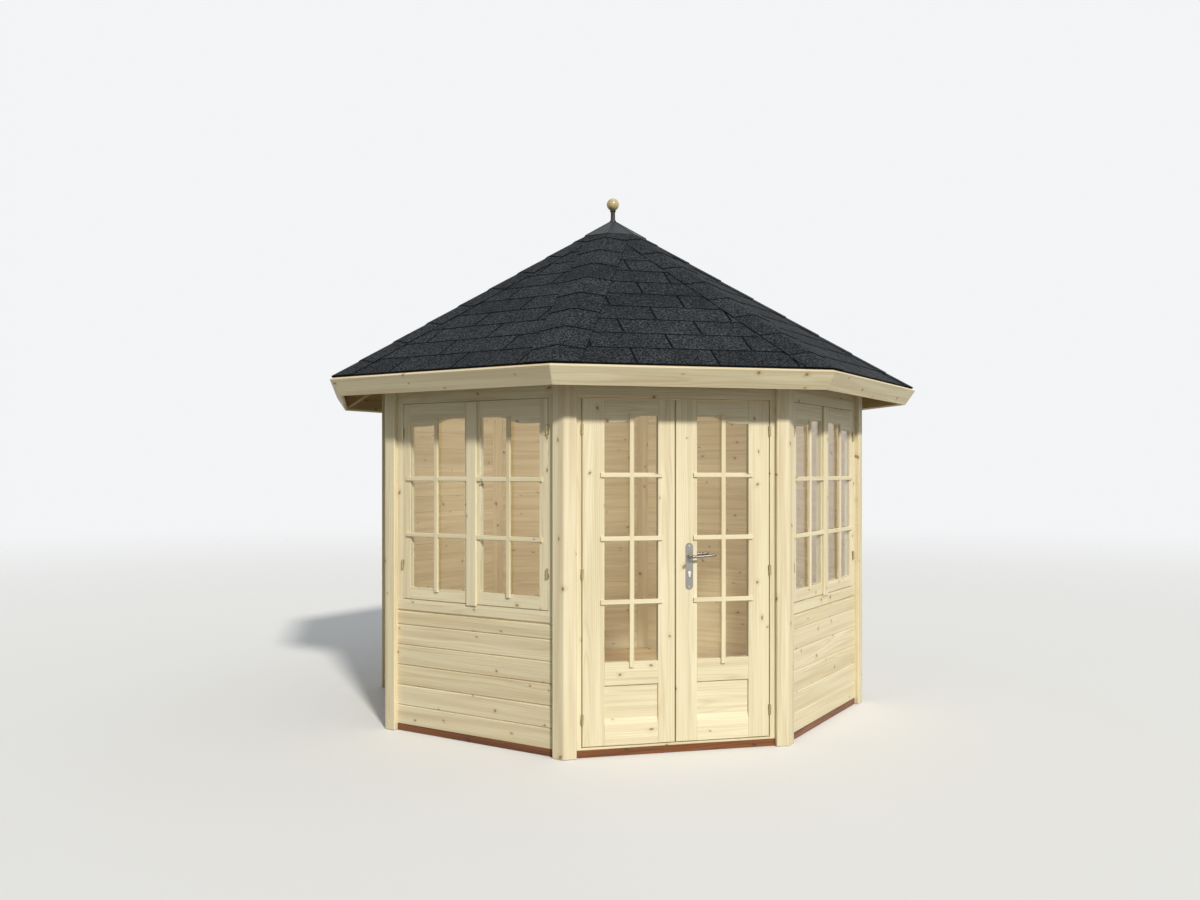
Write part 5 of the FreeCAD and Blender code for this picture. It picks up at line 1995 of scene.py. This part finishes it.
@dataclass
class Studio:
    """Plain floor, soft light and the camera at the photograph's angle."""

    camera_place: tuple[float, float, float] = (-1.6363, -6.8296, 1.5149)
    camera_turn: float = -13.17
    lens: float = 30.945
    shift: tuple[float, float] = (-0.0062, 0.0175)
    key_turn: float = 8.0
    key_height: float = 31.0
    key_strength: float = 3.0
    sky_strength: float = 0.46
    room_light: float = 25.0
    room_place: tuple[float, float, float] = (-0.10, 0.38, 1.45)
    floor_radius: float = 26.0

    def camera(self) -> None:
        """Make the camera and set it as the scene's."""
        data = bpy.data.cameras.new("camera")
        data.lens, data.sensor_width = self.lens, 36.0
        data.shift_x, data.shift_y = self.shift
        data.clip_start, data.clip_end = 0.05, 200.0
        made = place_object("camera", data)
        made.location = self.camera_place
        made.rotation_euler = (math.radians(90), 0.0, math.radians(self.camera_turn))
        bpy.context.scene.camera = made

    def key(self) -> None:
        """Make the soft key light."""
        data = bpy.data.lights.new("key", "SUN")
        data.energy, data.angle, data.color = self.key_strength, math.radians(5), (1.0, 0.965, 0.90)
        made = place_object("key", data)
        turn, height = math.radians(self.key_turn), math.radians(self.key_height)
        level = math.cos(height)
        towards = Vector((math.sin(turn) * level, -math.cos(turn) * level, math.sin(height)))
        made.rotation_euler = towards.to_track_quat("Z", "Y").to_euler()

    def room(self) -> None:
        """Make the warm lamp that stands for the light inside, itself unseen."""
        data = bpy.data.lights.new("room", "POINT")
        data.energy, data.shadow_soft_size, data.color = self.room_light, 0.45, (1.0, 0.93, 0.82)
        made = place_object("room", data)
        made.location = self.room_place
        made.visible_camera = made.visible_transmission = made.visible_glossy = False

    def surroundings(self) -> None:
        """Make the even light from around, and the pale backdrop that rays see."""
        world = bpy.data.worlds.new("studio")
        world.use_nodes = True
        b = TreeBuilder(world.node_tree)
        b.tree.nodes.clear()
        parts = b.node("ShaderNodeSeparateXYZ", {0: b.node("ShaderNodeTexCoord").outputs["Generated"]})
        strength = b.remap(parts.outputs[0], -1.0, 1.0, 0.72 * self.sky_strength, 1.28 * self.sky_strength)
        around = b.node("ShaderNodeBackground", {"Color": (0.92, 0.96, 1.0, 1), "Strength": strength})
        seen = b.node("ShaderNodeBackground", {"Color": (0.90, 0.91, 0.92, 1), "Strength": 1.0})
        mixed = b.node("ShaderNodeMixShader", {0: seen_ray(b), 1: around.outputs[0], 2: seen.outputs[0]})
        b.node("ShaderNodeOutputWorld", {"Surface": mixed.outputs[0]})
        bpy.context.scene.world = world

    def floor(self) -> None:
        """Make a plain pale floor that fades into the backdrop far away."""
        mesh = bmesh.new()
        bmesh.ops.create_circle(mesh, cap_ends=True, segments=96, radius=self.floor_radius)
        data = bpy.data.meshes.new("floor")
        mesh.to_mesh(data)
        mesh.free()
        made, b, shader = new_material("floor")
        shade = b.mix(seen_ray(b), (0.27, 0.27, 0.25, 1), (0.85, 0.85, 0.84, 1))
        b.feed(shader, "Base Color", shade)
        shader.inputs["Roughness"].default_value = 0.9
        shader.inputs["Specular IOR Level"].default_value = 0.1
        distance = b.vector("LENGTH", b.object_place())
        fade = b.remap(distance, 5.0, self.floor_radius - 2.0)
        blend_surface(b, fade, shader, b.node("ShaderNodeBsdfTransparent"))
        data.materials.append(made)
        floor = place_object("floor", data)
        floor.location.z = -0.0005

    def build(self) -> None:
        """Make floor, lights and camera."""
        for step in (self.floor, self.key, self.room, self.surroundings, self.camera):
            step()
        bpy.context.scene.view_settings.view_transform = "Standard"


def main() -> None:
    """Build the pavilion's looks in order, logging each part."""
    logging.basicConfig(level=logging.INFO, format="%(name)s: %(message)s")
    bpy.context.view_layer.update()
    for part in (Corners(), Floor(), Walls(), Windows(), Door(), Lock(), Roof(), Crown(), Studio()):
        part.build()
        LOG.info("%s done", type(part).__name__)


if __name__ == "__main__":
    main()
